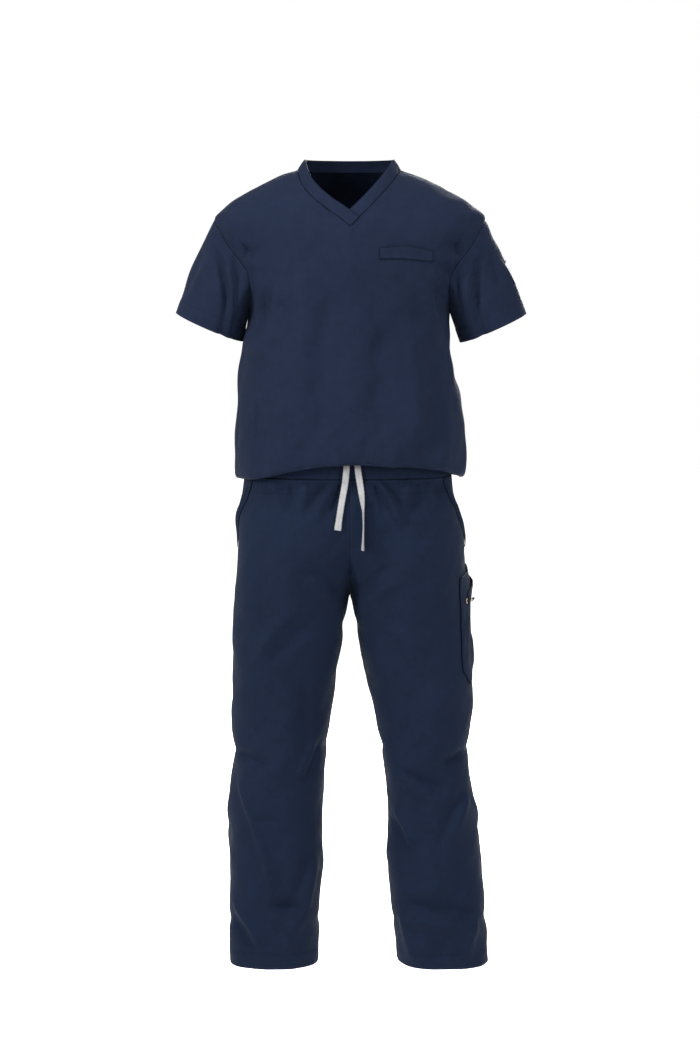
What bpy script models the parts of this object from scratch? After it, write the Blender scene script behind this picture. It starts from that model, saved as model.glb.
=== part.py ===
"""A medical scrubs set, hollow as worn: a V-neck top bloused into drawstring trousers.

Metres, +Z up, the front faces -Y and the wearer's left is +X. The origin lies between the
neck points of the shoulders, and every drop is measured down from there.
Each sewn piece is one closed cloth wall, made from the cut's own lengths and girths.
"""

import math

import bpy
import numpy as np

CLOTH = 0.0016            # wall of the twill, with its nap
DOUBLED = 0.0022          # wall where the cloth is folded and stitched
SEAM_GAP = 0.0003         # between two sewn pieces
SEAM_CHAMFER = 0.0006     # how far a hidden inner edge stands back from its seam
LAID_ON = 0.0005          # from a panel to what is sewn onto it
POCKET_LIFT = LAID_ON + CLOTH + SEAM_GAP
SQUARENESS = 2.4          # of the body's and legs' sections; 2 is an ellipse
RIGHT, LEFT = -1, 1       # the wearer's sides
FRONT, BACK = -1, 1

UNDERARM_DROP = 0.257
SHOULDER_TIP_DROP = 0.088
NECK_POINT_DROP = -0.001
V_TIP_DROP = 0.105
BACK_NECK_DROP = 0.0
WAIST_TOP_DROP = 0.517
WAIST_SEAM_DROP = 0.557
FORK_TOP_DROP = 0.600     # from here down the legs' sections part from each other
FORK_CURVE = 1.8
CROTCH_DROP = 0.782
TUCKED_HEM_DROP = 0.640
BLOUSE_DROP = 0.500       # where the top's side starts to roll under
FOLD_SIDE_DROP = 0.562
FOLD_LIFT = 0.031         # rise of the rolled fold at the centre front
FOLD_LIFT_BACK = 0.008
BAND_WIDTH = 0.024
LAP_SHARE = 0.34          # of the front neckline, over which the lapped ends part
LAP_UNDER = 0.0040
LAP_OVER = 0.0006

# Girths of the top.
TOP_COLUMNS = ("drop", "right", "left", "front", "back")
TOP_ROWS = (
    (-0.004, 0.092, 0.090, 0.008, 0.066),
    (0.000, 0.098, 0.096, 0.016, 0.072),
    (0.009, 0.123, 0.122, 0.036, 0.083),
    (0.024, 0.157, 0.156, 0.058, 0.095),
    (0.038, 0.185, 0.183, 0.077, 0.104),
    (0.053, 0.213, 0.211, 0.093, 0.112),
    (0.067, 0.230, 0.228, 0.105, 0.118),
    (0.088, 0.248, 0.246, 0.119, 0.125),
    (0.132, 0.237, 0.235, 0.134, 0.134),
    (0.190, 0.213, 0.210, 0.141, 0.139),
    (0.257, 0.186, 0.184, 0.143, 0.136),
    (0.318, 0.197, 0.182, 0.142, 0.132),
    (0.362, 0.201, 0.189, 0.143, 0.131),
    (0.421, 0.205, 0.205, 0.147, 0.135),
    (0.480, 0.211, 0.213, 0.152, 0.141),
    (0.570, 0.213, 0.215, 0.155, 0.144),
)
# Front neckline from the V's tip up to the neck point, for the wearer's right and left.
NECKLINE_COLUMNS = ("share", "right_across", "right_drop", "left_across", "left_drop")
NECKLINE_ROWS = (
    (0.0, 0.0000, 0.105, 0.0000, 0.105),
    (0.2, 0.0220, 0.087, 0.0225, 0.083),
    (0.4, 0.0470, 0.070, 0.0440, 0.061),
    (0.6, 0.0690, 0.051, 0.0660, 0.036),
    (0.8, 0.0870, 0.027, 0.0835, 0.013),
    (1.0, 0.0968, -0.001, 0.0938, -0.001),
)
# How the neckband leans from its seam: inwards, backwards and up, as shares of its width.
LEAN_COLUMNS = ("share", "inward", "backward", "up")
LEAN_ROWS = (
    (0.00, 0.68, 0.24, 0.68),
    (0.30, 0.56, 0.32, 0.76),
    (0.70, 0.60, 0.24, 0.76),
    (1.00, 0.54, 0.00, 0.83),
    (1.40, 0.36, -0.30, 0.88),
    (2.00, 0.00, -0.42, 0.91),
)
# Armholes: how far from the centre plane, front and back, at each drop.
ARMHOLE_COLUMNS = ("drop", "front", "back")
ARMHOLE_ROWS = (
    (0.088, 0.2470, 0.2470),
    (0.105, 0.2385, 0.2395),
    (0.129, 0.2255, 0.2285),
    (0.149, 0.2110, 0.2165),
    (0.169, 0.1950, 0.2040),
    (0.187, 0.1835, 0.1950),
    (0.208, 0.1790, 0.1890),
    (0.236, 0.1800, 0.1865),
    (0.257, 0.1840, 0.1840),
)
# The roll over the waist: a cloth path from the body, under the fold and back up, over the
# waistband and down inside the trousers. out is a share of the fullness over the waistband.
ROLL_COLUMNS = ("step", "fall", "out", "clear")
ROLL_ROWS = (
    # fall 0..1 runs from the start of the roll to the fold's lowest line,
    (0.0, 0.00, 1.00, 0.0),
    (0.8, 0.45, 1.00, 0.0),
    (1.6, 0.82, 0.95, 0.0),
    (2.2, 0.97, 0.80, 0.0),
    (2.7, 1.00, 0.60, 0.0),
    # and 1..2 from there back up to the waistband's top edge
    (3.2, 1.10, 0.38, 0.0012),
    (3.9, 1.45, 0.12, 0.0022),
    (4.6, 1.88, 0.00, 0.0028),
)
OVER_BAND_COLUMNS = ("step", "above", "clear")
OVER_BAND_ROWS = (
    (4.6, -0.0040, 0.0028),
    (5.0, 0.0032, 0.0012),
    (5.4, 0.0038, -0.0030),
    (5.8, -0.0040, -0.0040),
)
ROLL_END = 7.0            # step of the tucked-in hem
# Girths of the trousers.
TROUSER_COLUMNS = ("drop", "right", "left", "right_inner", "left_inner", "front", "back")
TROUSER_ROWS = (
    (0.510, 0.192, 0.187, 0.0000, 0.0000, 0.127, 0.121),
    (0.557, 0.194, 0.188, 0.0000, 0.0000, 0.130, 0.124),
    (0.590, 0.199, 0.193, 0.0000, 0.0000, 0.134, 0.130),
    (0.627, 0.208, 0.203, 0.0000, 0.0000, 0.137, 0.137),
    (0.672, 0.210, 0.210, 0.0000, 0.0000, 0.137, 0.143),
    (0.717, 0.211, 0.213, 0.0000, 0.0000, 0.134, 0.144),
    (0.782, 0.215, 0.218, 0.0003, 0.0003, 0.124, 0.134),
    (0.852, 0.217, 0.222, 0.0130, 0.0130, 0.113, 0.112),
    (0.943, 0.219, 0.228, 0.0280, 0.0320, 0.104, 0.098),
    (1.034, 0.221, 0.224, 0.0390, 0.0530, 0.094, 0.090),
    (1.080, 0.218, 0.222, 0.0430, 0.0600, 0.090, 0.088),
    (1.172, 0.228, 0.232, 0.0490, 0.0700, 0.085, 0.086),
    (1.264, 0.230, 0.245, 0.0510, 0.0720, 0.080, 0.084),
    (1.357, 0.229, 0.255, 0.0570, 0.0780, 0.077, 0.080),
    (1.477, 0.227, 0.261, 0.0610, 0.0910, 0.074, 0.076),
)
# The largest folds, as soft ridges (+) and troughs (-) of the given height and half width,
# from one place to another, each given as across and drop; face says which side shows them.
FOLD_COLUMNS = ("face", "x0", "drop0", "x1", "drop1", "height", "half_width")
TOP_FOLDS = (
    (FRONT, -0.206, 0.130, -0.196, 0.185, -0.006, 0.016),
    (FRONT, 0.206, 0.125, 0.188, 0.190, -0.005, 0.015),
    (FRONT, -0.165, 0.260, -0.120, 0.420, 0.004, 0.030),
    (FRONT, 0.150, 0.230, 0.165, 0.430, 0.004, 0.026),
    (FRONT, 0.010, 0.180, 0.020, 0.460, -0.004, 0.040),
    (BACK, -0.120, 0.180, -0.080, 0.470, -0.005, 0.034),
    (BACK, 0.110, 0.200, 0.090, 0.480, 0.005, 0.036),
    (BACK, 0.000, 0.300, 0.010, 0.490, -0.004, 0.040),
)
TROUSER_FOLDS = (
    (FRONT, -0.170, 1.160, -0.120, 1.375, 0.006, 0.026),
    (FRONT, -0.150, 1.395, -0.095, 1.410, -0.005, 0.024),
    (FRONT, 0.110, 1.390, 0.235, 1.420, -0.006, 0.026),
    (FRONT, 0.100, 1.160, 0.170, 1.185, 0.005, 0.024),
    (FRONT, -0.165, 0.880, -0.110, 0.810, 0.004, 0.026),
    (BACK, -0.180, 1.040, -0.080, 1.110, -0.006, 0.028),
    (BACK, 0.090, 1.050, 0.200, 1.120, -0.006, 0.028),
    (BACK, -0.170, 1.250, -0.100, 1.380, 0.006, 0.028),
    (BACK, 0.120, 1.260, 0.210, 1.390, 0.006, 0.028),
    (BACK, -0.110, 0.800, -0.040, 0.760, -0.006, 0.022),
    (BACK, 0.110, 0.800, 0.040, 0.760, -0.006, 0.022),
)

# How finely each cloth is faceted.
SHOULDER_STEPS = 4
FRONT_NECK_STEPS = 6
BACK_NECK_STEPS = 4
YOKE_STEPS = 7
SIDE_STEPS = 5
ROLL_STEPS = (0.0, 0.8, 1.6, 2.2, 2.7, 3.2, 3.9, 4.6, 5.0, 5.4, 5.8, 7.0)
SLEEVE_STEPS = 6
FRONT_LEG_STEPS = 10
BACK_LEG_STEPS = 8
LEG_DROPS = (0.557, 0.590, 0.627, 0.670, 0.710, 0.740, 0.760, 0.773, 0.782, 0.815, 0.860, 0.920, 0.980,
             1.040, 1.100, 1.160, 1.215, 1.270, 1.325, 1.378, 1.430, 1.477)

# Sleeve hems: centre, half the opening's width with its fall towards the body, and half depth.
SLEEVE_COLUMNS = ("across", "drop", "half_width", "half_fall", "half_depth", "front_sag")
SLEEVE_HEM = {
    RIGHT: (0.2605, 0.284, 0.0600, 0.0260, 0.073, 0.004),
    LEFT: (0.2635, 0.2855, 0.0605, 0.0265, 0.073, 0.004),
}
SLEEVE_FULLNESS = 0.004

# Trims laid on the panels.
CHEST_WELT = {"inner": 0.052, "outer": 0.148, "top": 0.1440, "height": 0.0190, "slant": 0.0075}
CHEST_WELT.update({"bow": 0.0035, "gape": 0.0022})
LABEL = {"height": 0.044, "behind": 0.28, "ahead": 0.42, "down": 0.50}
HAND_POCKET = {"top": 0.060, "top_drop": 0.5590, "end": 0.006, "end_drop": 0.690, "width": 0.011}
# The cargo pocket's outline, by distance forwards of the outseam round the leg.
CARGO_COLUMNS = ("ahead", "top", "bottom")
CARGO_ROWS = (
    (0.080, 0.742, 0.914),
    (0.054, 0.739, 0.942),
    (0.000, 0.732, 0.921),
    (-0.050, 0.726, 0.900),
    (-0.082, 0.722, 0.886),
)
CARGO_LIP = {"low_ahead": 0.048, "low_drop": 0.773, "high_ahead": -0.076, "high_drop": 0.741}
CARGO_LIP.update({"width": 0.020, "gape": 0.0022})
EYELET = {"ahead": 0.055, "drop": 0.786, "outer": 0.0050, "hole": 0.0027, "thick": 0.0012}
BADGE_LOOP = {"length": 0.028, "strand": 0.0009, "apart": 0.0012, "end": 0.0026}
# The loop's way out of the eyelet: along the leg, off the pocket, and its strands' spread.
BADGE_ROUTE = (
    (0.0000, 0.0010, 1.00),
    (0.0006, 0.0030, 1.00),
    (0.0040, 0.0050, 1.05),
    (0.0110, 0.0062, 1.50),
    (0.0190, 0.0062, 1.50),
    (0.0262, 0.0056, 1.05),
)
TAPE_WIDTH = 0.012
TAPE_THICK = 0.0014
TAB_LENGTH = 0.0115
# Drawstring routes from the waistband's eyelets down: across, forwards of the cloth, drop, twist.
TAPE_COLUMNS = ("across", "ahead", "drop", "twist")
TAPES = {
    "drawstring_right": (
        (-0.0062, 0.0012, 0.5300, 0),
        (-0.0065, 0.0042, 0.5380, 0),
        (-0.0085, 0.0048, 0.5600, 2),
        (-0.0140, 0.0040, 0.5920, 6),
        (-0.0185, 0.0034, 0.6200, 8),
        (-0.0222, 0.0034, 0.6470, 8),
    ),
    "drawstring_left": (
        (0.0135, 0.0012, 0.5300, 0),
        (0.0142, 0.0044, 0.5390, 0),
        (0.0165, 0.0050, 0.5550, 0),
        (0.0195, 0.0052, 0.5740, 12),
        (0.0222, 0.0066, 0.5950, 45),
        (0.0238, 0.0076, 0.6150, 74),
        (0.0242, 0.0076, 0.6400, 80),
        (0.0236, 0.0074, 0.6620, 76),
        (0.0230, 0.0072, 0.6830, 72),
    ),
}

NAVY = (0.021, 0.030, 0.060, 1.0)
NAVY_TOP = (0.026, 0.036, 0.068, 1.0)
OFF_WHITE = (0.62, 0.61, 0.62, 1.0)
WHITE = (0.85, 0.86, 0.88, 1.0)
BRASS = (0.60, 0.48, 0.30, 1.0)
BLACK = (0.012, 0.012, 0.013, 1.0)


# ---------------------------------------------------------------- reading the tables

def column(rows, names, name):
    return np.array([row[names.index(name)] for row in rows], dtype=float)


def smooth(rows, names, name, at):
    """A smooth curve through one column of a table, against its first column."""
    x = column(rows, names, names[0])
    y = column(rows, names, name)
    if len(x) == 2:
        return np.interp(at, x, y)
    step = np.diff(x)
    slope = np.diff(y) / step
    bend = np.zeros(len(x))
    same = slope[:-1] * slope[1:] > 0
    wide = 2 * step[1:] + step[:-1]
    narrow = step[1:] + 2 * step[:-1]
    inner = np.zeros(len(slope) - 1)
    inner[same] = (wide + narrow)[same] / (wide[same] / slope[:-1][same] + narrow[same] / slope[1:][same])
    bend[1:-1] = inner
    bend[0], bend[-1] = slope[0], slope[-1]
    at = np.clip(np.asarray(at, dtype=float), x[0], x[-1])
    cell = np.clip(np.searchsorted(x, at, side="right") - 1, 0, len(step) - 1)
    share = (at - x[cell]) / step[cell]
    near = y[cell] * (1 + 2 * share) * (1 - share) ** 2 + bend[cell] * step[cell] * share * (1 - share) ** 2
    far = y[cell + 1] * share ** 2 * (3 - 2 * share) - bend[cell + 1] * step[cell] * share ** 2 * (1 - share)
    return near + far


def side_name(side):
    return "right" if side == RIGHT else "left"


def face_name(face):
    return "front" if face == FRONT else "back"


# ---------------------------------------------------------------- the top's surface

def ring(side, face, width, depth, turn):
    """A quarter section: turn 0 is at the side and a quarter circle is at the centre."""
    across = width * np.abs(np.cos(turn)) ** (2 / SQUARENESS)
    out = depth * np.abs(np.sin(turn)) ** (2 / SQUARENESS)
    return side * across, face * out


def turn_at(across, width):
    """The turn at which a section of this half width lies so far from the centre plane."""
    return np.arccos(np.clip(across / width, 0, 1) ** (SQUARENESS / 2))


def body_point(side, face, turn, drop):
    width = smooth(TOP_ROWS, TOP_COLUMNS, side_name(side), drop)
    depth = smooth(TOP_ROWS, TOP_COLUMNS, face_name(face), drop)
    x, y = ring(side, face, width, depth, turn)
    return np.stack([x, y, -drop + 0 * x], -1)


def armhole_edge(side, face, rise):
    """The armhole in turn and drop, from the underarm (rise 0) to the shoulder tip (1)."""
    drop = UNDERARM_DROP - (UNDERARM_DROP - SHOULDER_TIP_DROP) * rise ** 1.3
    width = smooth(TOP_ROWS, TOP_COLUMNS, side_name(side), drop)
    across = smooth(ARMHOLE_ROWS, ARMHOLE_COLUMNS, face_name(face), drop)
    ends = np.minimum(1, np.minimum(rise, 1 - rise) * 12)
    return turn_at(np.minimum(across, width), width) * ends ** 0.5, drop


def upper_edge(side, face, share, shoulder_share):
    """The shoulder seam and then the neckline, in turn and drop, from the tip to the centre."""
    along = np.clip(share / shoulder_share, 0, 1)
    seam_drop = NECK_POINT_DROP + (SHOULDER_TIP_DROP - NECK_POINT_DROP) * (1 - along) ** 1.6
    neck = np.clip((share - shoulder_share) / (1 - shoulder_share), 0, 1)
    if face == BACK:
        neck_drop = NECK_POINT_DROP + (BACK_NECK_DROP - NECK_POINT_DROP) * neck
        return neck * math.pi / 2, np.where(share < shoulder_share, seam_drop, neck_drop)
    name = side_name(side)
    across = smooth(NECKLINE_ROWS, NECKLINE_COLUMNS, name + "_across", 1 - neck)
    neck_drop = smooth(NECKLINE_ROWS, NECKLINE_COLUMNS, name + "_drop", 1 - neck)
    width = smooth(TOP_ROWS, TOP_COLUMNS, name, neck_drop)
    start = smooth(TOP_ROWS, TOP_COLUMNS, name, NECK_POINT_DROP + 0 * share)
    turn = turn_at(across * np.where(neck > 0, 1, start / np.maximum(across, 1e-6)), width)
    return np.where(share < shoulder_share, 0, turn), np.where(share < shoulder_share, seam_drop, neck_drop)


def yoke_point(side, face, share, rise, shoulder_share):
    """The top from the underarm up: share runs from the side to the centre, rise upwards."""
    quarter = math.pi / 2
    centre_drop = V_TIP_DROP if face == FRONT else BACK_NECK_DROP
    low = (quarter * share, UNDERARM_DROP + 0 * share)
    high = upper_edge(side, face, share, shoulder_share)
    out = armhole_edge(side, face, rise)
    middle = (quarter + 0 * rise, UNDERARM_DROP + (centre_drop - UNDERARM_DROP) * rise ** 1.15)
    corners = ((0, UNDERARM_DROP), (quarter, UNDERARM_DROP), (0, SHOULDER_TIP_DROP), (quarter, centre_drop))
    placed = []
    for k in (0, 1):
        ruled = (1 - rise) * low[k] + rise * high[k] + (1 - share) * out[k] + share * middle[k]
        bottom = (1 - share) * corners[0][k] + share * corners[1][k]
        top = (1 - share) * corners[2][k] + share * corners[3][k]
        placed.append(ruled - (1 - rise) * bottom - rise * top)
    return body_point(side, face, np.clip(placed[0], 0, quarter), placed[1])


def fold_drop(side, face, turn):
    """The lowest line of the rolled fold, lifted at the centre."""
    if face == BACK:
        return FOLD_SIDE_DROP - FOLD_LIFT_BACK * np.sin(turn) ** 2
    power = 4 if side == RIGHT else 1.2
    return FOLD_SIDE_DROP - FOLD_LIFT * np.sin(turn) ** power


def roll_point(side, face, turn, step):
    """The top from where it starts to roll under, round to its tucked-in hem."""
    lowest = fold_drop(side, face, turn)
    start = lowest - (FOLD_SIDE_DROP - BLOUSE_DROP)
    fall = smooth(ROLL_ROWS, ROLL_COLUMNS, "fall", step)
    out = smooth(ROLL_ROWS, ROLL_COLUMNS, "out", step)
    clear = smooth(ROLL_ROWS, ROLL_COLUMNS, "clear", step)
    above = smooth(OVER_BAND_ROWS, OVER_BAND_COLUMNS, "above", step)
    over_clear = smooth(OVER_BAND_ROWS, OVER_BAND_COLUMNS, "clear", step)
    going_down = start + (lowest - start) * fall
    coming_up = lowest + (WAIST_TOP_DROP - lowest) * (fall - 1)
    drop = np.where(fall < 1, going_down, coming_up)
    tuck = np.clip((step - 5.8) / (ROLL_END - 5.8), 0, 1)
    over = WAIST_TOP_DROP - above + tuck * (TUCKED_HEM_DROP - WAIST_TOP_DROP - 0.004)
    past = step > 4.6
    drop = np.where(past, over, drop)
    clear = np.where(past, over_clear - 0.003 * tuck, clear)
    out = np.where(past, 0, out)
    body = np.minimum(drop, BLOUSE_DROP + 0.07)
    names = (side_name(side), face_name(face))
    full = [smooth(TOP_ROWS, TOP_COLUMNS, name, body) for name in names]
    band = [smooth(TROUSER_ROWS, TROUSER_COLUMNS, name, np.minimum(drop, WAIST_SEAM_DROP)) for name in names]
    width, depth = (b + (f - b) * out + clear for f, b in zip(full, band))
    x, y = ring(side, face, width, depth, turn)
    return np.stack([x, y, -drop + 0 * x], -1)


def fold_height(folds, x, drop, face):
    """How far the folds lift the cloth at each place."""
    total = np.zeros_like(x)
    for row in folds:
        fold = dict(zip(FOLD_COLUMNS, row))
        if fold["face"] != face:
            continue
        run = np.array([fold["x1"] - fold["x0"], fold["drop1"] - fold["drop0"]])
        length = np.hypot(*run)
        along = ((x - fold["x0"]) * run[0] + (drop - fold["drop0"]) * run[1]) / length
        aside = ((x - fold["x0"]) * run[1] - (drop - fold["drop0"]) * run[0]) / length
        beyond = np.maximum(0, np.abs(along - length / 2) - length / 4) / (length / 4 + fold["half_width"])
        total += fold["height"] * np.exp(-((aside / fold["half_width"]) ** 2) - 2 * beyond ** 2)
    return total


def lifted(points, normals, folds, face):
    """The surface with its folds, which fade at the side seams and stay level there."""
    x, drop = points[..., 0], -points[..., 2]
    height = fold_height(folds, x, drop, face)
    flat = normals * np.array([1.0, 1.0, 0.0])
    flat[..., 0] *= np.clip(np.abs(x) / 0.03, 0, 1)
    facing = np.clip(face * normals[..., 1] * 2.5 - 0.5, 0, 1)
    return points + flat * (height * facing)[..., None]


def grid_normals(points, outward):
    """Unit normals of a grid of points; outward is +1 or -1, by the grid's own turn."""
    down = np.gradient(points, axis=0)
    along = np.gradient(points, axis=1)
    normal = np.cross(down, along) * outward
    return normal / np.maximum(np.linalg.norm(normal, axis=-1, keepdims=True), 1e-12)


def top_half(side, face, shares, shoulder_share):
    """One half of the front or back of the top, a row for each level from hem to shoulder."""
    turns = shares * math.pi / 2
    rolled = [roll_point(side, face, turns, step + 0 * turns) for step in ROLL_STEPS[::-1]]
    levels = np.linspace(1, 0, SIDE_STEPS + 1)[1:-1]
    start = fold_drop(side, face, turns) - (FOLD_SIDE_DROP - BLOUSE_DROP)
    sides = [body_point(side, face, turns, UNDERARM_DROP + (start - UNDERARM_DROP) * k) for k in levels]
    rises = np.linspace(0, 1, YOKE_STEPS + 1)
    yoke = [yoke_point(side, face, shares, rise + 0 * shares, shoulder_share) for rise in rises]
    return np.array(rolled + sides + yoke)


def top_panel(face, neck_steps):
    """The whole front or back as a grid, from the wearer's right side to the left."""
    steps = SHOULDER_STEPS + neck_steps
    shoulder_share = SHOULDER_STEPS / steps
    shares = np.linspace(0, 1, steps + 1)
    halves = {side: top_half(side, face, shares, shoulder_share) for side in (RIGHT, LEFT)}
    points = np.concatenate([halves[RIGHT], halves[LEFT][:, -2::-1]], axis=1)
    return lifted(points, grid_normals(points, face), TOP_FOLDS, face)


# ---------------------------------------------------------------- the trousers' surface

def trouser_point(side, face, round_leg, drop):
    """round_leg runs from the outseam (0) to the centre seam or the inseam (1)."""
    name = side_name(side)
    outer = smooth(TROUSER_ROWS, TROUSER_COLUMNS, name, drop)
    inner = smooth(TROUSER_ROWS, TROUSER_COLUMNS, name + "_inner", drop)
    depth = smooth(TROUSER_ROWS, TROUSER_COLUMNS, face_name(face), drop)
    above = np.clip((CROTCH_DROP - drop) / (CROTCH_DROP - FORK_TOP_DROP), 0, 1)
    inner = np.where(above > 0, -outer * above ** FORK_CURVE, inner)
    middle, half = (outer + inner) / 2, (outer - inner) / 2
    reach = np.arccos(-np.clip((middle - SEAM_GAP / 2) / half, 0, 1) ** (SQUARENESS / 2))
    angle = round_leg * np.where(above > 0, reach, math.pi)
    swell = np.sign(np.cos(angle)) * np.abs(np.cos(angle)) ** (2 / SQUARENESS)
    x = middle + half * swell
    y = depth * np.abs(np.sin(angle)) ** (2 / SQUARENESS)
    return np.stack([side * x, face * y, -drop + 0 * x], -1)


def leg_panel(side, face, steps):
    shares = np.linspace(0, 1, steps + 1)
    points = np.array([trouser_point(side, face, shares, drop + 0 * shares) for drop in LEG_DROPS])
    return lifted(points, grid_normals(points, side * face), TROUSER_FOLDS, face)


def leg_at(side, drop, ahead, lift=0.0):
    """A place on a leg, so far forwards (+) or back (-) of the outseam round the leg."""
    face = FRONT if ahead >= 0 else BACK
    shares = np.linspace(0, 0.6, 61)
    walk = trouser_point(side, face, shares, drop + 0 * shares)
    gone = np.concatenate([[0], np.cumsum(np.linalg.norm(np.diff(walk, axis=0), axis=1))])
    share = float(np.interp(abs(ahead), gone, shares))
    step = 1e-3
    here = trouser_point(side, face, np.array(share), np.array(drop))
    along = trouser_point(side, face, np.array(share + step), np.array(drop)) - here
    down = trouser_point(side, face, np.array(share), np.array(drop + step)) - here
    normal = np.cross(down, along) * side * face
    normal = normal / np.linalg.norm(normal)
    flat = normal * np.array([1.0, 1.0, 0.0])
    height = fold_height(TROUSER_FOLDS, here[0:1], -here[2:3], face)[0]
    facing = np.clip(face * normal[1] * 2.5 - 0.5, 0, 1)
    return here + flat * height * facing + normal * lift, normal


# ---------------------------------------------------------------- solids

def unit(vectors):
    return vectors / np.maximum(np.linalg.norm(vectors, axis=-1, keepdims=True), 1e-12)


def gapped(points, wall, normals):
    """Outer and inner points of a wall whose edges stand back from their seams."""
    outer = points.copy()
    inner = points - normals * wall
    for axis in (0, 1):
        for edge, step in ((0, 1), (-1, -1)):
            here = [slice(None)] * 2
            there = [slice(None)] * 2
            here[axis] = edge
            there[axis] = edge + step
            inward = unit(points[tuple(there)] - points[tuple(here)])
            outer[tuple(here)] += inward * SEAM_GAP / 2
            inner[tuple(here)] += inward * (SEAM_GAP / 2 + SEAM_CHAMFER)
    return outer, inner


def finished(name, verts, faces, material):
    mesh = bpy.data.meshes.new(name)
    mesh.from_pydata([tuple(map(float, v)) for v in verts], [], faces)
    mesh.validate()
    mesh.shade_smooth()
    mesh.set_sharp_from_angle(angle=math.radians(40))
    mesh.materials.append(material)
    obj = bpy.data.objects.new(name, mesh)
    bpy.context.scene.collection.objects.link(obj)
    return obj


def level_at_seams(points, normals):
    """At a seam in the side plane or the centre plane, both pieces' normals lie in that plane."""
    for edge in ((0, slice(None)), (-1, slice(None)), (slice(None), 0), (slice(None), -1)):
        for axis in (0, 1):
            in_plane = np.abs(points[edge][:, axis]) < SEAM_GAP
            flat = normals[edge].copy()
            flat[in_plane, axis] = 0
            normals[edge] = unit(flat)
    return normals


def cloth(name, points, outward, material, wall=CLOTH, closed=False):
    """A closed wall from a grid of points on its right side, thickened towards the wrong side."""
    if closed:
        wrapped = np.concatenate([points[:, -1:], points, points[:, :1]], axis=1)
        normals = grid_normals(wrapped, outward)[:, 1:-1]
        outer, inner = points.copy(), points - normals * wall
    else:
        normals = level_at_seams(points, grid_normals(points, outward))
        outer, inner = gapped(points, wall, normals)
    rows, cols = points.shape[:2]
    verts = np.concatenate([outer.reshape(-1, 3), inner.reshape(-1, 3)])
    count = rows * cols

    def index(row, col, layer):
        return layer * count + row * cols + col % cols

    faces = []
    last = cols if closed else cols - 1
    for row in range(rows - 1):
        for col in range(last):
            corners = ((row, col), (row + 1, col), (row + 1, col + 1), (row, col + 1))
            quad = [index(*corner, 0) for corner in corners]
            faces.append(quad if outward > 0 else quad[::-1])
            lining = [corner + count for corner in quad]
            faces.append(lining[::-1] if outward > 0 else lining)
    rim = []
    for col in range(last):
        rim.append(((0, col + 1), (0, col)))
        rim.append(((rows - 1, col), (rows - 1, col + 1)))
    if not closed:
        for row in range(rows - 1):
            rim.append(((row, 0), (row + 1, 0)))
            rim.append(((row + 1, cols - 1), (row, cols - 1)))
    for start, end in rim:
        quad = [index(*start, 0), index(*start, 1), index(*end, 1), index(*end, 0)]
        faces.append(quad if outward > 0 else quad[::-1])
    return finished(name, verts, faces, material)


def material(name, color, roughness, metallic=0.0):
    made = bpy.data.materials.new(name)
    made.use_nodes = True
    shader = made.node_tree.nodes["Principled BSDF"]
    shader.inputs["Base Color"].default_value = color
    shader.inputs["Roughness"].default_value = roughness
    shader.inputs["Metallic"].default_value = metallic
    return made


# ---------------------------------------------------------------- the pieces

def make_top(cloth_material):
    front = top_panel(FRONT, FRONT_NECK_STEPS)
    back = top_panel(BACK, BACK_NECK_STEPS)
    cloth("top_front", front, FRONT, cloth_material)
    cloth("top_back", back, BACK, cloth_material)
    return front, back


def sleeve_points(side, front, back):
    """A sleeve from the armhole's own points to its hem, once round from the shoulder tip."""
    edge = 0 if side == RIGHT else -1
    rise = front[-YOKE_STEPS - 1:, edge]
    fall = back[-YOKE_STEPS - 1:, edge]
    loop = np.concatenate([rise[::-1], fall[1:-1]])
    count = len(loop)
    gone = np.linalg.norm(np.diff(np.concatenate([loop, loop[:1]]), axis=0), axis=1)
    far = np.concatenate([[0], np.cumsum(gone)])
    underarm = YOKE_STEPS
    angle = np.where(
        np.arange(count) <= underarm,
        math.pi * far[:-1] / far[underarm],
        math.pi + math.pi * (far[:-1] - far[underarm]) / (far[-1] - far[underarm]),
    )
    hem = dict(zip(SLEEVE_COLUMNS, SLEEVE_HEM[side]))
    out = np.cos(angle)
    ahead = np.sin(angle)
    end = np.stack([
        side * (hem["across"] + hem["half_width"] * out),
        -hem["half_depth"] * ahead,
        -hem["drop"] + hem["half_fall"] * out - hem["front_sag"] * np.maximum(ahead, 0),
    ], -1)
    bulge = np.stack([side * np.maximum(out, 0), -ahead, 0 * out], -1) * SLEEVE_FULLNESS
    steps = np.linspace(0, 1, SLEEVE_STEPS + 1)
    return np.array([loop * (1 - k) + end * k + bulge * math.sin(math.pi * k) for k in steps])


def make_sleeve(side, front, back, cloth_material):
    points = sleeve_points(side, front, back)
    wrapped = np.concatenate([points[:, -1:], points, points[:, :1]], axis=1)
    normals = grid_normals(wrapped, -side)[:, 1:-1]
    inward = unit(points[1] - points[0])
    points[0] += inward * SEAM_GAP
    outer, inner = points, points - normals * CLOTH
    inner[0] += inward * 4 * SEAM_CHAMFER
    tube("sleeve_" + side_name(side), outer, inner, side == LEFT, cloth_material)
    return points


def tube(name, outer, inner, flipped, cloth_material):
    rows, cols = outer.shape[:2]
    count = rows * cols
    faces = []
    for row in range(rows):
        for col in range(cols):
            beside = (col + 1) % cols
            here, there = row * cols + col, row * cols + beside
            if row + 1 < rows:
                below, across = here + cols, there + cols
                faces.append([here, below, across, there])
                faces.append([there + count, across + count, below + count, here + count])
            if row == 0:
                faces.append([there, there + count, here + count, here])
            if row == rows - 1:
                faces.append([here, here + count, there + count, there])
    if flipped:
        faces = [face[::-1] for face in faces]
    verts = np.concatenate([outer.reshape(-1, 3), inner.reshape(-1, 3)])
    finished(name, verts, faces, cloth_material)


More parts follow.
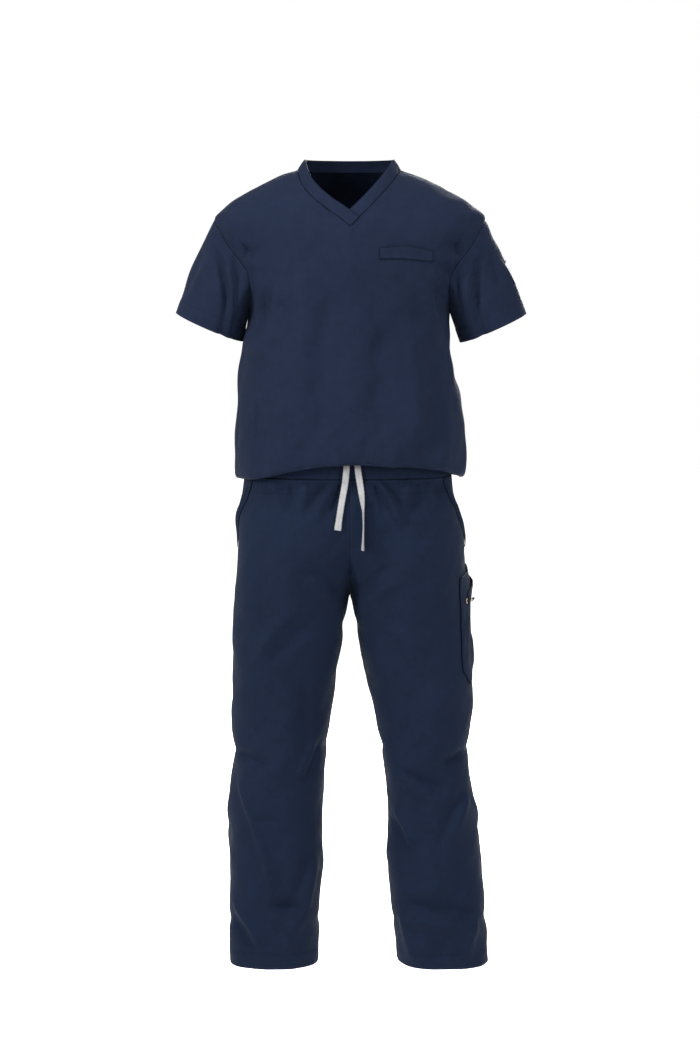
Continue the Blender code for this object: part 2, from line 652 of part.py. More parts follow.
def neck_seam(side, share):
    """The neckline's point: share 0 at the V, 1 at the neck point, 2 at the centre back."""
    if share <= 1:
        turn, drop = upper_edge(side, FRONT, np.array([max(1 - share, 1e-8)]), 1e-9)
        return body_point(side, FRONT, turn, drop)[0]
    turn, drop = upper_edge(side, BACK, np.array([max(share - 1, 1e-8)]), 1e-9)
    return body_point(side, BACK, turn, drop)[0]


def neckband_points():
    """Rows from the seam to the free edge; the right end laps over the left at the V."""
    stops = (0.06, 0.15, 0.3, 0.45, 0.6, 0.75, 0.9, 1.0, 1.15, 1.35, 1.6, 1.85)
    seam, lean = [], []
    order = [(RIGHT, s) for s in (0.0,) + stops] + [(RIGHT, 2.0)]
    order += [(LEFT, s) for s in stops[::-1] + (0.0,)]
    for side, share in order:
        point = neck_seam(side, share)
        inward = smooth(LEAN_ROWS, LEAN_COLUMNS, "inward", share)
        backward = smooth(LEAN_ROWS, LEAN_COLUMNS, "backward", share)
        up = smooth(LEAN_ROWS, LEAN_COLUMNS, "up", share)
        direction = np.array([-side * inward, backward, up])
        seam.append(point)
        lean.append(direction / np.linalg.norm(direction))
    return np.array(seam), np.array(lean), order


def make_neckband(cloth_material):
    seam, lean, order = neckband_points()
    rows = []
    for across in np.linspace(0.02, 1, 4):
        rows.append(seam + lean * BAND_WIDTH * across)
    points = np.array(rows)
    for col, (side, share) in enumerate(order):
        near_tip = max(0.0, 1 - share / LAP_SHARE)
        shift = LAP_UNDER * near_tip if side == LEFT else -LAP_OVER * near_tip
        points[:, col, 1] += shift
    cloth("neckband", points, 1, cloth_material, wall=DOUBLED)


def front_at(x, drop, lift):
    """A place on the front of the top, lifted off it along its normal."""
    side = LEFT if x >= 0 else RIGHT
    step = 1e-3

    def bare(across, fall):
        width = smooth(TOP_ROWS, TOP_COLUMNS, side_name(side), np.array(fall))
        return body_point(side, FRONT, turn_at(abs(across), width), np.array(fall))

    here = bare(x, drop)
    normal = np.cross(bare(x + step, drop) - here, bare(x, drop - step) - here)
    normal = normal / np.linalg.norm(normal)
    height = fold_height(TOP_FOLDS, here[0:1], -here[2:3], FRONT)[0]
    facing = np.clip(-normal[1] * 2.5 - 0.5, 0, 1)
    return here + normal * np.array([1.0, 1.0, 0.0]) * height * facing + normal * lift


def make_chest_welt(cloth_material):
    welt = CHEST_WELT
    points = []
    for up in (0.0, 0.5, 1.0):
        row = []
        for share in np.linspace(0, 1, 9):
            x = welt["inner"] + (welt["outer"] - welt["inner"]) * share
            bow = math.sin(math.pi * share)
            slanted = welt["top"] + welt["slant"] * max(0, share - 0.45)
            drop = slanted + welt["height"] * (1 - up) - welt["bow"] * bow * up
            row.append(front_at(x, drop, LAID_ON + CLOTH + welt["gape"] * bow * up ** 2))
        points.append(row)
    cloth("chest_welt", np.array(points), -1, cloth_material)


def make_label(sleeve, white):
    """The bare label, wrapped over the outer side of the left sleeve."""
    loop = np.concatenate([sleeve, sleeve[:, :1]], axis=1)
    tall = LABEL["height"]
    rows = []
    middle_row = LABEL["down"] * (len(sleeve) - 1)
    length = np.linalg.norm(sleeve[-1, 0] - sleeve[0, 0])
    normals = grid_normals(np.concatenate([loop[:, -2:-1], loop, loop[:, 1:2]], axis=1), -LEFT)[:, 1:-1]
    for down in (-0.5, 0.0, 0.5):
        row = []
        for across in (-LABEL["behind"], 0.0, LABEL["ahead"]):
            place = middle_row + down * tall / length * (len(sleeve) - 1)
            low = int(math.floor(place))
            part = place - low
            here, there = (0, 1) if across >= 0 else (0, -2)
            mix = abs(across)
            spots = []
            for grid in (loop, normals):
                upper = grid[low, here] * (1 - mix) + grid[low, there] * mix
                lower = grid[low + 1, here] * (1 - mix) + grid[low + 1, there] * mix
                spots.append(upper * (1 - part) + lower * part)
            row.append(spots[0] + unit(spots[1]) * (LAID_ON + 0.0007 + 0.0006))
        rows.append(row)
    cloth("sleeve_label", np.array(rows), -1, white, wall=0.0007)


def make_waistband(cloth_material):
    rows = []
    for drop in (WAIST_TOP_DROP, (WAIST_TOP_DROP + WAIST_SEAM_DROP) / 2, WAIST_SEAM_DROP - SEAM_GAP / 2):
        row = []
        for side, face, steps in (
            (RIGHT, FRONT, FRONT_LEG_STEPS),
            (LEFT, FRONT, FRONT_LEG_STEPS),
            (LEFT, BACK, BACK_LEG_STEPS),
            (RIGHT, BACK, BACK_LEG_STEPS),
        ):
            shares = np.linspace(0, 1, steps + 1)
            points = trouser_point(side, face, shares, drop + 0 * shares)
            towards_left = (side == RIGHT) == (face == FRONT)
            row.extend(points[:-1] if towards_left else points[:0:-1])
        rows.append(row)
    cloth("waistband", np.array(rows), 1, cloth_material, wall=DOUBLED, closed=True)


def make_trousers(cloth_material):
    for side in (RIGHT, LEFT):
        for face, steps in ((FRONT, FRONT_LEG_STEPS), (BACK, BACK_LEG_STEPS)):
            points = leg_panel(side, face, steps)
            name = f"trouser_{face_name(face)}_{side_name(side)}"
            cloth(name, points, side * face, cloth_material)


def make_hand_pocket(side, cloth_material):
    """The turned and stitched mouth of a slanted hip pocket."""
    pocket = HAND_POCKET
    points = []
    for aside in (0.0, 1.0):
        row = []
        for share in np.linspace(0, 1, 8):
            ahead = pocket["top"] + (pocket["end"] - pocket["top"]) * share ** 1.4 + pocket["width"] * aside
            drop = pocket["top_drop"] + (pocket["end_drop"] - pocket["top_drop"]) * share
            row.append(leg_at(side, drop, ahead, LAID_ON + 0.0012 + 0.0004)[0])
        points.append(row)
    cloth("hand_pocket_" + side_name(side), np.array(points), side, cloth_material, wall=0.0012)


def make_cargo_pocket(cloth_material):
    grid = []
    shares = np.linspace(0, 1, 8)
    stops = (0.080, 0.067, 0.054, 0.036, 0.018, 0.0005, -0.018, -0.036, -0.054, -0.068, -0.082)
    behind, tops, bottoms = (column(CARGO_ROWS, CARGO_COLUMNS, name) for name in CARGO_COLUMNS)
    for ahead in stops:
        top = np.interp(-ahead, -behind, tops)
        bottom = np.interp(-ahead, -behind, bottoms)
        grid.append([leg_at(LEFT, top + (bottom - top) * k, ahead, POCKET_LIFT)[0] for k in shares])
    cloth("cargo_pocket", np.array(grid), -1, cloth_material)


def make_cargo_lip(cloth_material):
    lip = CARGO_LIP
    lift = POCKET_LIFT + LAID_ON + CLOTH
    rows = []
    for aside in (0.0, 0.5, 1.0):
        row = []
        for share in np.linspace(0, 1, 9):
            ahead = lip["low_ahead"] + (lip["high_ahead"] - lip["low_ahead"]) * share
            drop = lip["low_drop"] + (lip["high_drop"] - lip["low_drop"]) * share + lip["width"] * aside
            gape = lip["gape"] * math.sin(math.pi * share) * (1 - aside)
            row.append(leg_at(LEFT, drop, ahead, lift + gape)[0])
        rows.append(row)
    cloth("cargo_lip", np.array(rows), 1, cloth_material)


def along_leg_frame(drop, ahead, lift):
    """A place on the left leg with its outward, backward and upward directions."""
    place, normal = leg_at(LEFT, drop, ahead, lift)
    behind = unit(leg_at(LEFT, drop, ahead - 0.002, lift)[0] - place)
    return place, normal, behind, unit(np.cross(normal, behind))


def make_eyelet(brass):
    """A rolled brass ring standing on the pocket."""
    eyelet = EYELET
    place, normal, behind, up = along_leg_frame(eyelet["drop"], eyelet["ahead"], POCKET_LIFT + SEAM_GAP)
    middle = (eyelet["outer"] + eyelet["hole"]) / 2
    half = (eyelet["outer"] - eyelet["hole"]) / 2
    turns, sides = 20, 8
    verts, faces = [], []
    for i in range(turns):
        angle = 2 * math.pi * i / turns
        ray = behind * math.cos(angle) + up * math.sin(angle)
        for j in range(sides):
            bend = 2 * math.pi * j / sides
            height = eyelet["thick"] / 2 * (1 + math.sin(bend))
            verts.append(place + ray * (middle + half * math.cos(bend)) + normal * height)
    for i in range(turns):
        for j in range(sides):
            a, b = i * sides + j, i * sides + (j + 1) % sides
            c, d = (i + 1) % turns * sides + (j + 1) % sides, (i + 1) % turns * sides + j
            faces.append([a, d, c, b])
    finished("cargo_eyelet", verts, faces, brass)


def smooth_route(points, count):
    """A smooth curve through a route's own points, at even steps of its parameter."""
    points = np.asarray(points, dtype=float)
    gone = np.concatenate([[0], np.cumsum(np.linalg.norm(np.diff(points[:, :3], axis=0), axis=1))])
    rows = tuple(map(tuple, np.column_stack([gone, points])))
    names = tuple("abcdefgh"[:points.shape[1] + 1])
    at = np.linspace(0, gone[-1], count)
    return np.stack([smooth(rows, names, name, at) for name in names[1:]], -1)


def round_cord(name, points, radius, colour):
    curve = bpy.data.curves.new(name, "CURVE")
    curve.dimensions = "3D"
    curve.bevel_depth = radius
    curve.bevel_resolution = 2
    curve.use_fill_caps = True
    spline = curve.splines.new("POLY")
    spline.points.add(len(points) - 1)
    for point, place in zip(spline.points, points):
        point.co = (*map(float, place), 1.0)
    curve.materials.append(colour)
    obj = bpy.data.objects.new(name, curve)
    bpy.context.scene.collection.objects.link(obj)


def make_badge_loop(black):
    """An elastic loop out of the eyelet, pinched by its round end."""
    strand, length = BADGE_LOOP["strand"], BADGE_LOOP["length"]
    base = POCKET_LIFT + SEAM_GAP
    up = along_leg_frame(EYELET["drop"], EYELET["ahead"], base)[3]
    there, back = [], []
    for out, height, spread in BADGE_ROUTE:
        spot, _ = leg_at(LEFT, EYELET["drop"], EYELET["ahead"] - out, base + height)
        there.append(spot + up * BADGE_LOOP["apart"] * spread)
        back.insert(0, spot - up * BADGE_LOOP["apart"] * spread)
    height = BADGE_ROUTE[-1][1]
    tip, _ = leg_at(LEFT, EYELET["drop"], EYELET["ahead"] - length, base + height)
    round_cord("cargo_cord", smooth_route(there + [tip] + back, 33), strand, black)
    ahead = unit(leg_at(LEFT, EYELET["drop"], EYELET["ahead"] - length - 0.001, base + height)[0] - tip)
    middle = tip + ahead * (strand + SEAM_GAP + BADGE_LOOP["end"])
    radius = BADGE_LOOP["end"]
    bpy.ops.mesh.primitive_uv_sphere_add(segments=12, ring_count=8, radius=radius, location=tuple(middle))
    bead = bpy.context.object
    bead.name = "cargo_cord_end"
    bead.data.shade_smooth()
    bead.data.materials.append(black)


def tape_route(name, count):
    """The tape's middle line and its sideways direction, with the cloth's own front face below."""
    rows = []
    for across, ahead, drop, twist in TAPES[name]:
        side = LEFT if across >= 0 else RIGHT
        depth = smooth(TROUSER_ROWS, TROUSER_COLUMNS, "front", np.array(drop))
        rows.append((across, -float(depth) - ahead, -drop, twist))
    route = smooth_route(rows, count)
    twist = np.radians(route[:, 3])
    run = unit(np.gradient(route[:, :3], axis=0))
    level = np.stack([np.cos(twist), -np.sin(twist), 0 * twist], -1)
    level = unit(level - run * np.sum(level * run, axis=1, keepdims=True))
    return route[:, :3], level, unit(np.cross(run, level))


def make_tape(name, cloth_material):
    """A flat drawstring end whose last stretch is folded back and stitched."""
    middle, level, facing = tape_route(name, 22)
    left = np.linalg.norm(np.diff(middle, axis=0), axis=1)[::-1].cumsum()[::-1]
    tab = np.concatenate([left, [0.0]]) < TAB_LENGTH
    half = np.where(tab, TAPE_WIDTH / 2 + 0.0008, TAPE_WIDTH / 2)[:, None]
    thick = np.where(tab, TAPE_THICK, TAPE_THICK / 2)[:, None]
    corners = []
    for across, out in ((-1, -1), (1, -1), (1, 1), (-1, 1)):
        corners.append(middle + level * half * across + facing * thick * out)
    rings = np.stack(corners, 1)
    count = len(middle)
    faces = [[3, 2, 1, 0], [4 * count - 4, 4 * count - 3, 4 * count - 2, 4 * count - 1]]
    for i in range(count - 1):
        for j in range(4):
            a, b = 4 * i + j, 4 * i + (j + 1) % 4
            faces.append([a, b, b + 4, a + 4])
    finished(name, rings.reshape(-1, 3), faces, cloth_material)


def main():
    for old in list(bpy.data.objects):
        bpy.data.objects.remove(old, do_unlink=True)
    top_twill = material("top_twill", NAVY_TOP, 0.72)
    trouser_twill = material("trouser_twill", NAVY, 0.74)
    tape = material("drawstring_tape", OFF_WHITE, 0.85)
    white = material("bare_label", WHITE, 0.7)
    brass = material("brass", BRASS, 0.35, 1.0)
    black = material("black_elastic", BLACK, 0.6)
    front, back = make_top(top_twill)
    make_sleeve(RIGHT, front, back, top_twill)
    left_sleeve = make_sleeve(LEFT, front, back, top_twill)
    make_neckband(top_twill)
    make_chest_welt(top_twill)
    make_label(left_sleeve, white)
    make_waistband(trouser_twill)
    make_trousers(trouser_twill)
    for side in (RIGHT, LEFT):
        make_hand_pocket(side, trouser_twill)
    make_cargo_pocket(trouser_twill)
    make_cargo_lip(trouser_twill)
    make_eyelet(brass)
    make_badge_loop(black)
    for name in TAPES:
        make_tape(name, tape)


main()
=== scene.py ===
"""A medical scrubs set, hollow as worn, with its folds, seams, stitching and finishes.

Metres, +Z up, the front faces -Y and the wearer's left is +X; every drop is measured down
from the neck points of the shoulders. The cloths are curved sheets made from the cut's own
lengths and girths, with soft creases laid into them one by one.
"""

import math

import bpy
import numpy as np
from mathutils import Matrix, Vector
from mathutils.bvhtree import BVHTree


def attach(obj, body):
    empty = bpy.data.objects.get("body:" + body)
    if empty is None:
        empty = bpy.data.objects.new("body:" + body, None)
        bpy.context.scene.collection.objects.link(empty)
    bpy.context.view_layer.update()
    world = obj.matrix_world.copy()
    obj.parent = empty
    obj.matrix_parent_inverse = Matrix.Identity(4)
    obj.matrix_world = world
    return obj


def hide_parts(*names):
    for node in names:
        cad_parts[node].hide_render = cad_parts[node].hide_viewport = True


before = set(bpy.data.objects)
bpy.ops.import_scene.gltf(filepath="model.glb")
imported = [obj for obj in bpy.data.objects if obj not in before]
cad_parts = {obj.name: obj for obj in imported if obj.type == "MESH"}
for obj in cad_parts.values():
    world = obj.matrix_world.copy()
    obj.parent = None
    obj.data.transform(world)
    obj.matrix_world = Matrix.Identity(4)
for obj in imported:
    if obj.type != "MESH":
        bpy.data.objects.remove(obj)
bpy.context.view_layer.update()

CLOTH = 0.0014            # wall of the twill
DOUBLED = 0.0022          # wall where the cloth is folded and stitched
WAISTBAND_WALL = 0.0020
POCKET_EDGE_WALL = 0.0011
LABEL_WALL = 0.0006
LAID_ON = 0.0005          # from a panel to what is sewn onto it
SQUARENESS = 2.4          # of the body's and legs' sections; 2 is an ellipse
RIGHT, LEFT = -1, 1       # the wearer's sides
FRONT, BACK = -1, 1

UNDERARM_DROP = 0.257
SHOULDER_TIP_DROP = 0.088
NECK_POINT_DROP = -0.001
V_TIP_DROP = 0.105
BACK_NECK_DROP = 0.0
WAIST_TOP_DROP = 0.517
WAIST_SEAM_DROP = 0.557
FORK_TOP_DROP = 0.600     # from here down the legs' sections part from each other
FORK_CURVE = 1.8
CROTCH_DROP = 0.782
TROUSER_HEM_DROP = 1.477
TUCKED_HEM_DROP = 0.640
BLOUSE_DROP = 0.500       # where the top's side starts to roll under
FOLD_SIDE_DROP = 0.562
FOLD_LIFT = 0.031         # rise of the rolled fold at the centre front
FOLD_LIFT_BACK = 0.008
BAND_WIDTH = 0.024
LAP_SHARE = 0.34          # of the front neckline, over which the lapped ends part
LAP_UNDER = 0.0040
LAP_OVER = 0.0006
FLOOR_DROP = 1.572

# Girths of the top.
TOP_COLUMNS = ("drop", "right", "left", "front", "back")
TOP_ROWS = (
    (-0.004, 0.092, 0.090, 0.008, 0.066),
    (0.000, 0.098, 0.096, 0.016, 0.072),
    (0.009, 0.123, 0.122, 0.036, 0.083),
    (0.024, 0.157, 0.156, 0.058, 0.095),
    (0.038, 0.185, 0.183, 0.077, 0.104),
    (0.053, 0.213, 0.211, 0.093, 0.112),
    (0.067, 0.230, 0.228, 0.105, 0.118),
    (0.088, 0.248, 0.246, 0.119, 0.125),
    (0.132, 0.237, 0.235, 0.134, 0.134),
    (0.190, 0.213, 0.210, 0.141, 0.139),
    (0.257, 0.186, 0.184, 0.143, 0.136),
    (0.318, 0.197, 0.182, 0.142, 0.132),
    (0.362, 0.201, 0.189, 0.143, 0.131),
    (0.421, 0.205, 0.205, 0.147, 0.135),
    (0.480, 0.211, 0.213, 0.152, 0.141),
    (0.570, 0.213, 0.215, 0.155, 0.144),
)
# Front neckline from the V's tip up to the neck point, for the wearer's right and left.
NECKLINE_COLUMNS = ("share", "right_across", "right_drop", "left_across", "left_drop")
NECKLINE_ROWS = (
    (0.0, 0.0000, 0.105, 0.0000, 0.105),
    (0.2, 0.0220, 0.087, 0.0225, 0.083),
    (0.4, 0.0470, 0.070, 0.0440, 0.061),
    (0.6, 0.0690, 0.051, 0.0660, 0.036),
    (0.8, 0.0870, 0.027, 0.0835, 0.013),
    (1.0, 0.0968, -0.001, 0.0938, -0.001),
)
# How the neckband leans from its seam: inwards, backwards and up, as shares of its width.
LEAN_COLUMNS = ("share", "inward", "backward", "up")
LEAN_ROWS = (
    (0.00, 0.68, 0.24, 0.68),
    (0.30, 0.56, 0.32, 0.76),
    (0.70, 0.60, 0.24, 0.76),
    (1.00, 0.54, 0.00, 0.83),
    (1.40, 0.36, -0.30, 0.88),
    (2.00, 0.00, -0.42, 0.91),
)
# Armholes: how far from the centre plane, front and back, at each drop.
ARMHOLE_COLUMNS = ("drop", "front", "back")
ARMHOLE_ROWS = (
    (0.088, 0.2470, 0.2470),
    (0.105, 0.2385, 0.2395),
    (0.129, 0.2255, 0.2285),
    (0.149, 0.2110, 0.2165),
    (0.169, 0.1950, 0.2040),
    (0.187, 0.1835, 0.1950),
    (0.208, 0.1790, 0.1890),
    (0.236, 0.1800, 0.1865),
    (0.257, 0.1840, 0.1840),
)
# The roll over the waist: a cloth path from the body, under the fold and back up, over the
# waistband and down inside the trousers. out is a share of the fullness over the waistband.
ROLL_COLUMNS = ("step", "fall", "out", "clear")
ROLL_ROWS = (
    (0.0, 0.00, 1.00, 0.0),
    (0.8, 0.45, 1.00, 0.0),
    (1.6, 0.82, 0.95, 0.0),
    (2.2, 0.97, 0.80, 0.0),
    (2.7, 1.00, 0.60, 0.0),
    (3.2, 1.10, 0.38, 0.0012),
    (3.9, 1.45, 0.12, 0.0022),
    (4.6, 1.88, 0.00, 0.0028),
)
OVER_BAND_COLUMNS = ("step", "above", "clear")
OVER_BAND_ROWS = (
    (4.6, -0.0040, 0.0028),
    (5.0, 0.0032, 0.0012),
    (5.4, 0.0038, -0.0030),
    (5.8, -0.0040, -0.0040),
)
ROLL_OVER_BAND = 4.6      # step from which the cloth lies over the waistband
ROLL_TUCK = 5.8           # step from which it goes down inside the trousers
ROLL_END = 7.0            # step of the tucked-in hem
# Girths of the trousers.
TROUSER_COLUMNS = ("drop", "right", "left", "right_inner", "left_inner", "front", "back")
TROUSER_ROWS = (
    (0.510, 0.192, 0.187, 0.0000, 0.0000, 0.127, 0.121),
    (0.557, 0.194, 0.188, 0.0000, 0.0000, 0.130, 0.124),
    (0.590, 0.199, 0.193, 0.0000, 0.0000, 0.134, 0.130),
    (0.627, 0.208, 0.203, 0.0000, 0.0000, 0.137, 0.137),
    (0.672, 0.210, 0.210, 0.0000, 0.0000, 0.137, 0.143),
    (0.717, 0.211, 0.213, 0.0000, 0.0000, 0.134, 0.144),
    (0.782, 0.215, 0.218, 0.0003, 0.0003, 0.124, 0.134),
    (0.852, 0.217, 0.222, 0.0130, 0.0130, 0.113, 0.112),
    (0.943, 0.219, 0.228, 0.0280, 0.0320, 0.104, 0.098),
    (1.034, 0.221, 0.224, 0.0390, 0.0530, 0.094, 0.090),
    (1.080, 0.218, 0.222, 0.0430, 0.0600, 0.090, 0.088),
    (1.172, 0.228, 0.232, 0.0490, 0.0700, 0.085, 0.086),
    (1.264, 0.230, 0.245, 0.0510, 0.0720, 0.080, 0.084),
    (1.357, 0.229, 0.255, 0.0570, 0.0780, 0.077, 0.080),
    (1.477, 0.227, 0.261, 0.0610, 0.0910, 0.074, 0.076),
)

# Creases: each is a soft ridge (+) or hollow (-) of the given rise and half width, from one
# place to another. It bows sideways, and lean makes one of its flanks steeper. The rows are in
# millimetres, except lean, which is a share.
CREASE_COLUMNS = ("a0", "drop0", "a1", "drop1", "bow", "rise", "half", "lean")
CREASE_UNITS = (1000,) * 7 + (1,)
# On the front and back of the top: across and drop.
TOP_FRONT_CREASES = (
    # from the armholes
    (-193, 110, -190, 160, 2, -8, 8, 0.3),
    (-205, 86, -176, 116, 0, 4.5, 9, 0.2),
    (-180, 118, -170, 175, 4, 4, 10, -0.3),
    (-171, 160, -150, 215, 4, -3, 10, 0.2),
    (194, 116, 198, 158, -2, -8, 8, -0.3),
    (166, 152, 178, 192, 0, -5, 7, -0.2),
    (187, 86, 190, 133, -3, 4.5, 9, 0),
    (184, 128, 176, 172, 0, 4, 8, 0.3),
    (150, 150, 162, 200, 2, 2.5, 11, 0),
    # from the neckline
    (-86, 62, -34, 84, 5, 2.6, 7, 0.3),
    (-90, 76, -40, 100, 5, -2, 9, 0),
    (34, 62, 66, 50, -3, 2.2, 6, 0.3),
    (6, 110, 16, 116, 0, -1.4, 3, 0),
    (-130, 40, -120, 90, 4, -1.8, 13, 0),
    (128, 42, 118, 100, -4, -1.8, 13, 0),
    # soft diagonals below the arms
    (-125, 205, -152, 320, 4, 4.5, 14, 0.3),
    (-156, 187, -180, 292, 4, 4, 11, 0.2),
    (-140, 205, -166, 305, 3, -4.5, 10, 0),
    (141, 214, 169, 320, -4, 4.5, 13, -0.3),
    (158, 200, 184, 296, -4, -4.2, 10, 0),
    (-180, 312, -122, 400, 3, 3.6, 12, 0.3),
    (-172, 330, -112, 414, 3, -3.2, 12, 0),
    (176, 350, 134, 420, -3, 3, 12, 0),
    # long soft folds down the body
    (-92, 170, -86, 480, 10, 4.2, 26, 0.2),
    (-40, 230, -52, 495, -8, -4.6, 24, 0),
    (6, 190, 16, 470, 10, 3.6, 28, -0.2),
    (62, 270, 56, 495, -6, -4.8, 24, 0),
    (106, 270, 116, 505, 6, 4.2, 20, 0.2),
    (148, 360, 140, 520, 4, -4, 14, 0),
    (-128, 380, -118, 530, 4, 4.2, 16, 0.2),
    (-166, 420, -158, 540, 3, -4, 12, 0),
    (178, 420, 170, 540, 3, 4, 12, 0),
    # short ones over the fold at the waist
    (-148, 500, -142, 560, 2, 3, 10, 0),
    (-84, 492, -78, 552, 3, -3, 11, 0),
    (-30, 488, -20, 540, 2, 2.6, 10, 0.3),
    (30, 484, 34, 540, -2, -2.8, 10, 0),
    (82, 494, 76, 548, 2, 3, 12, 0),
    (124, 498, 128, 552, 2, -2.8, 10, 0),
)
TOP_BACK_CREASES = (
    (-196, 110, -182, 190, 4, -7, 10, 0.3),
    (-178, 120, -160, 230, 5, 4.5, 13, 0),
    (-150, 170, -120, 330, 6, -4.5, 15, 0.2),
    (196, 114, 184, 186, -4, -7, 10, -0.3),
    (176, 124, 162, 220, -5, 4.5, 12, 0),
    (152, 180, 128, 300, -6, -4.5, 15, 0),
    (-60, 30, -150, 80, 6, 2.6, 14, 0),
    (58, 34, 150, 90, -6, 2.4, 14, 0),
    (-120, 240, -84, 490, 8, 5.5, 24, 0.2),
    (-60, 280, -40, 500, -6, -5.5, 22, 0),
    (0, 200, 10, 480, 10, 4.5, 28, 0),
    (52, 300, 44, 500, 6, -5.5, 22, 0),
    (110, 220, 90, 490, -8, 5.5, 24, -0.2),
    (150, 340, 140, 520, 4, -4.5, 16, 0),
    (-150, 350, -144, 520, 4, -4.5, 15, 0),
    (-100, 420, -20, 460, 6, -3, 14, 0.2),
    (100, 410, 30, 450, -6, -3, 14, 0.2),
    (-90, 496, -86, 556, 2, 3, 10, 0),
    (-20, 496, -22, 556, 2, -3, 10, 0),
    (70, 496, 74, 556, 2, 3, 10, 0),
)
# On the sides: how far behind (+) or ahead (-) of the side seam, and drop.
TOP_SIDE_CREASES = {
    RIGHT: (
        (-50, 280, -20, 420, 4, 4.5, 14, 0.2),
        (-10, 300, 20, 470, 5, -4.5, 14, 0),
        (50, 270, 30, 450, -4, 4.5, 14, -0.2),
        (-50, 450, -40, 550, 3, -3.5, 12, 0),
        (30, 460, 36, 550, 3, 3.5, 12, 0),
    ),
    LEFT: (
        (-40, 275, -60, 400, 4, 4.5, 14, 0.2),
        (0, 300, -16, 460, 5, -4.5, 14, 0),
        (46, 280, 20, 450, -4, 4, 14, -0.2),
        (-40, 450, -44, 550, 3, 3.5, 12, 0),
        (40, 460, 36, 550, 3, -3.5, 12, 0),
    ),
}
# On the sleeves: round from the shoulder line, forwards (+) and back (-), and down the sleeve.
SLEEVE_CREASES = {
    RIGHT: (
        (56, 22, 152, 150, 14, -8, 9, 0.3),
        (78, 20, 170, 128, 12, 5, 10, 0),
        (82, 4, 132, 62, 4, -5.5, 7, 0.2),
        (140, 60, 166, 104, 2, -4, 7, 0),
        (54, 30, 44, 120, 3, 4, 13, 0),
        (20, 50, 26, 150, 3, -2.6, 13, 0),
        (-70, 20, -150, 120, -10, -7, 10, 0.3),
        (-50, 30, -110, 150, -8, 4.5, 12, 0),
        (-130, 10, -180, 80, -4, -4.5, 8, 0),
    ),
    LEFT: (
        (62, 22, 142, 140, 10, -8, 9, 0.3),
        (86, 18, 160, 120, 10, 5, 10, 0),
        (44, 44, 58, 92, 2, -4, 7, 0),
        (104, 4, 146, 52, 3, -4.5, 7, 0.2),
        (40, 70, 20, 150, 3, 3.5, 13, 0),
        (-66, 24, -144, 130, -10, -7, 10, 0.3),
        (-46, 30, -100, 150, -8, 4.5, 12, 0),
        (-120, 8, -176, 70, -4, -4.5, 8, 0),
    ),
}
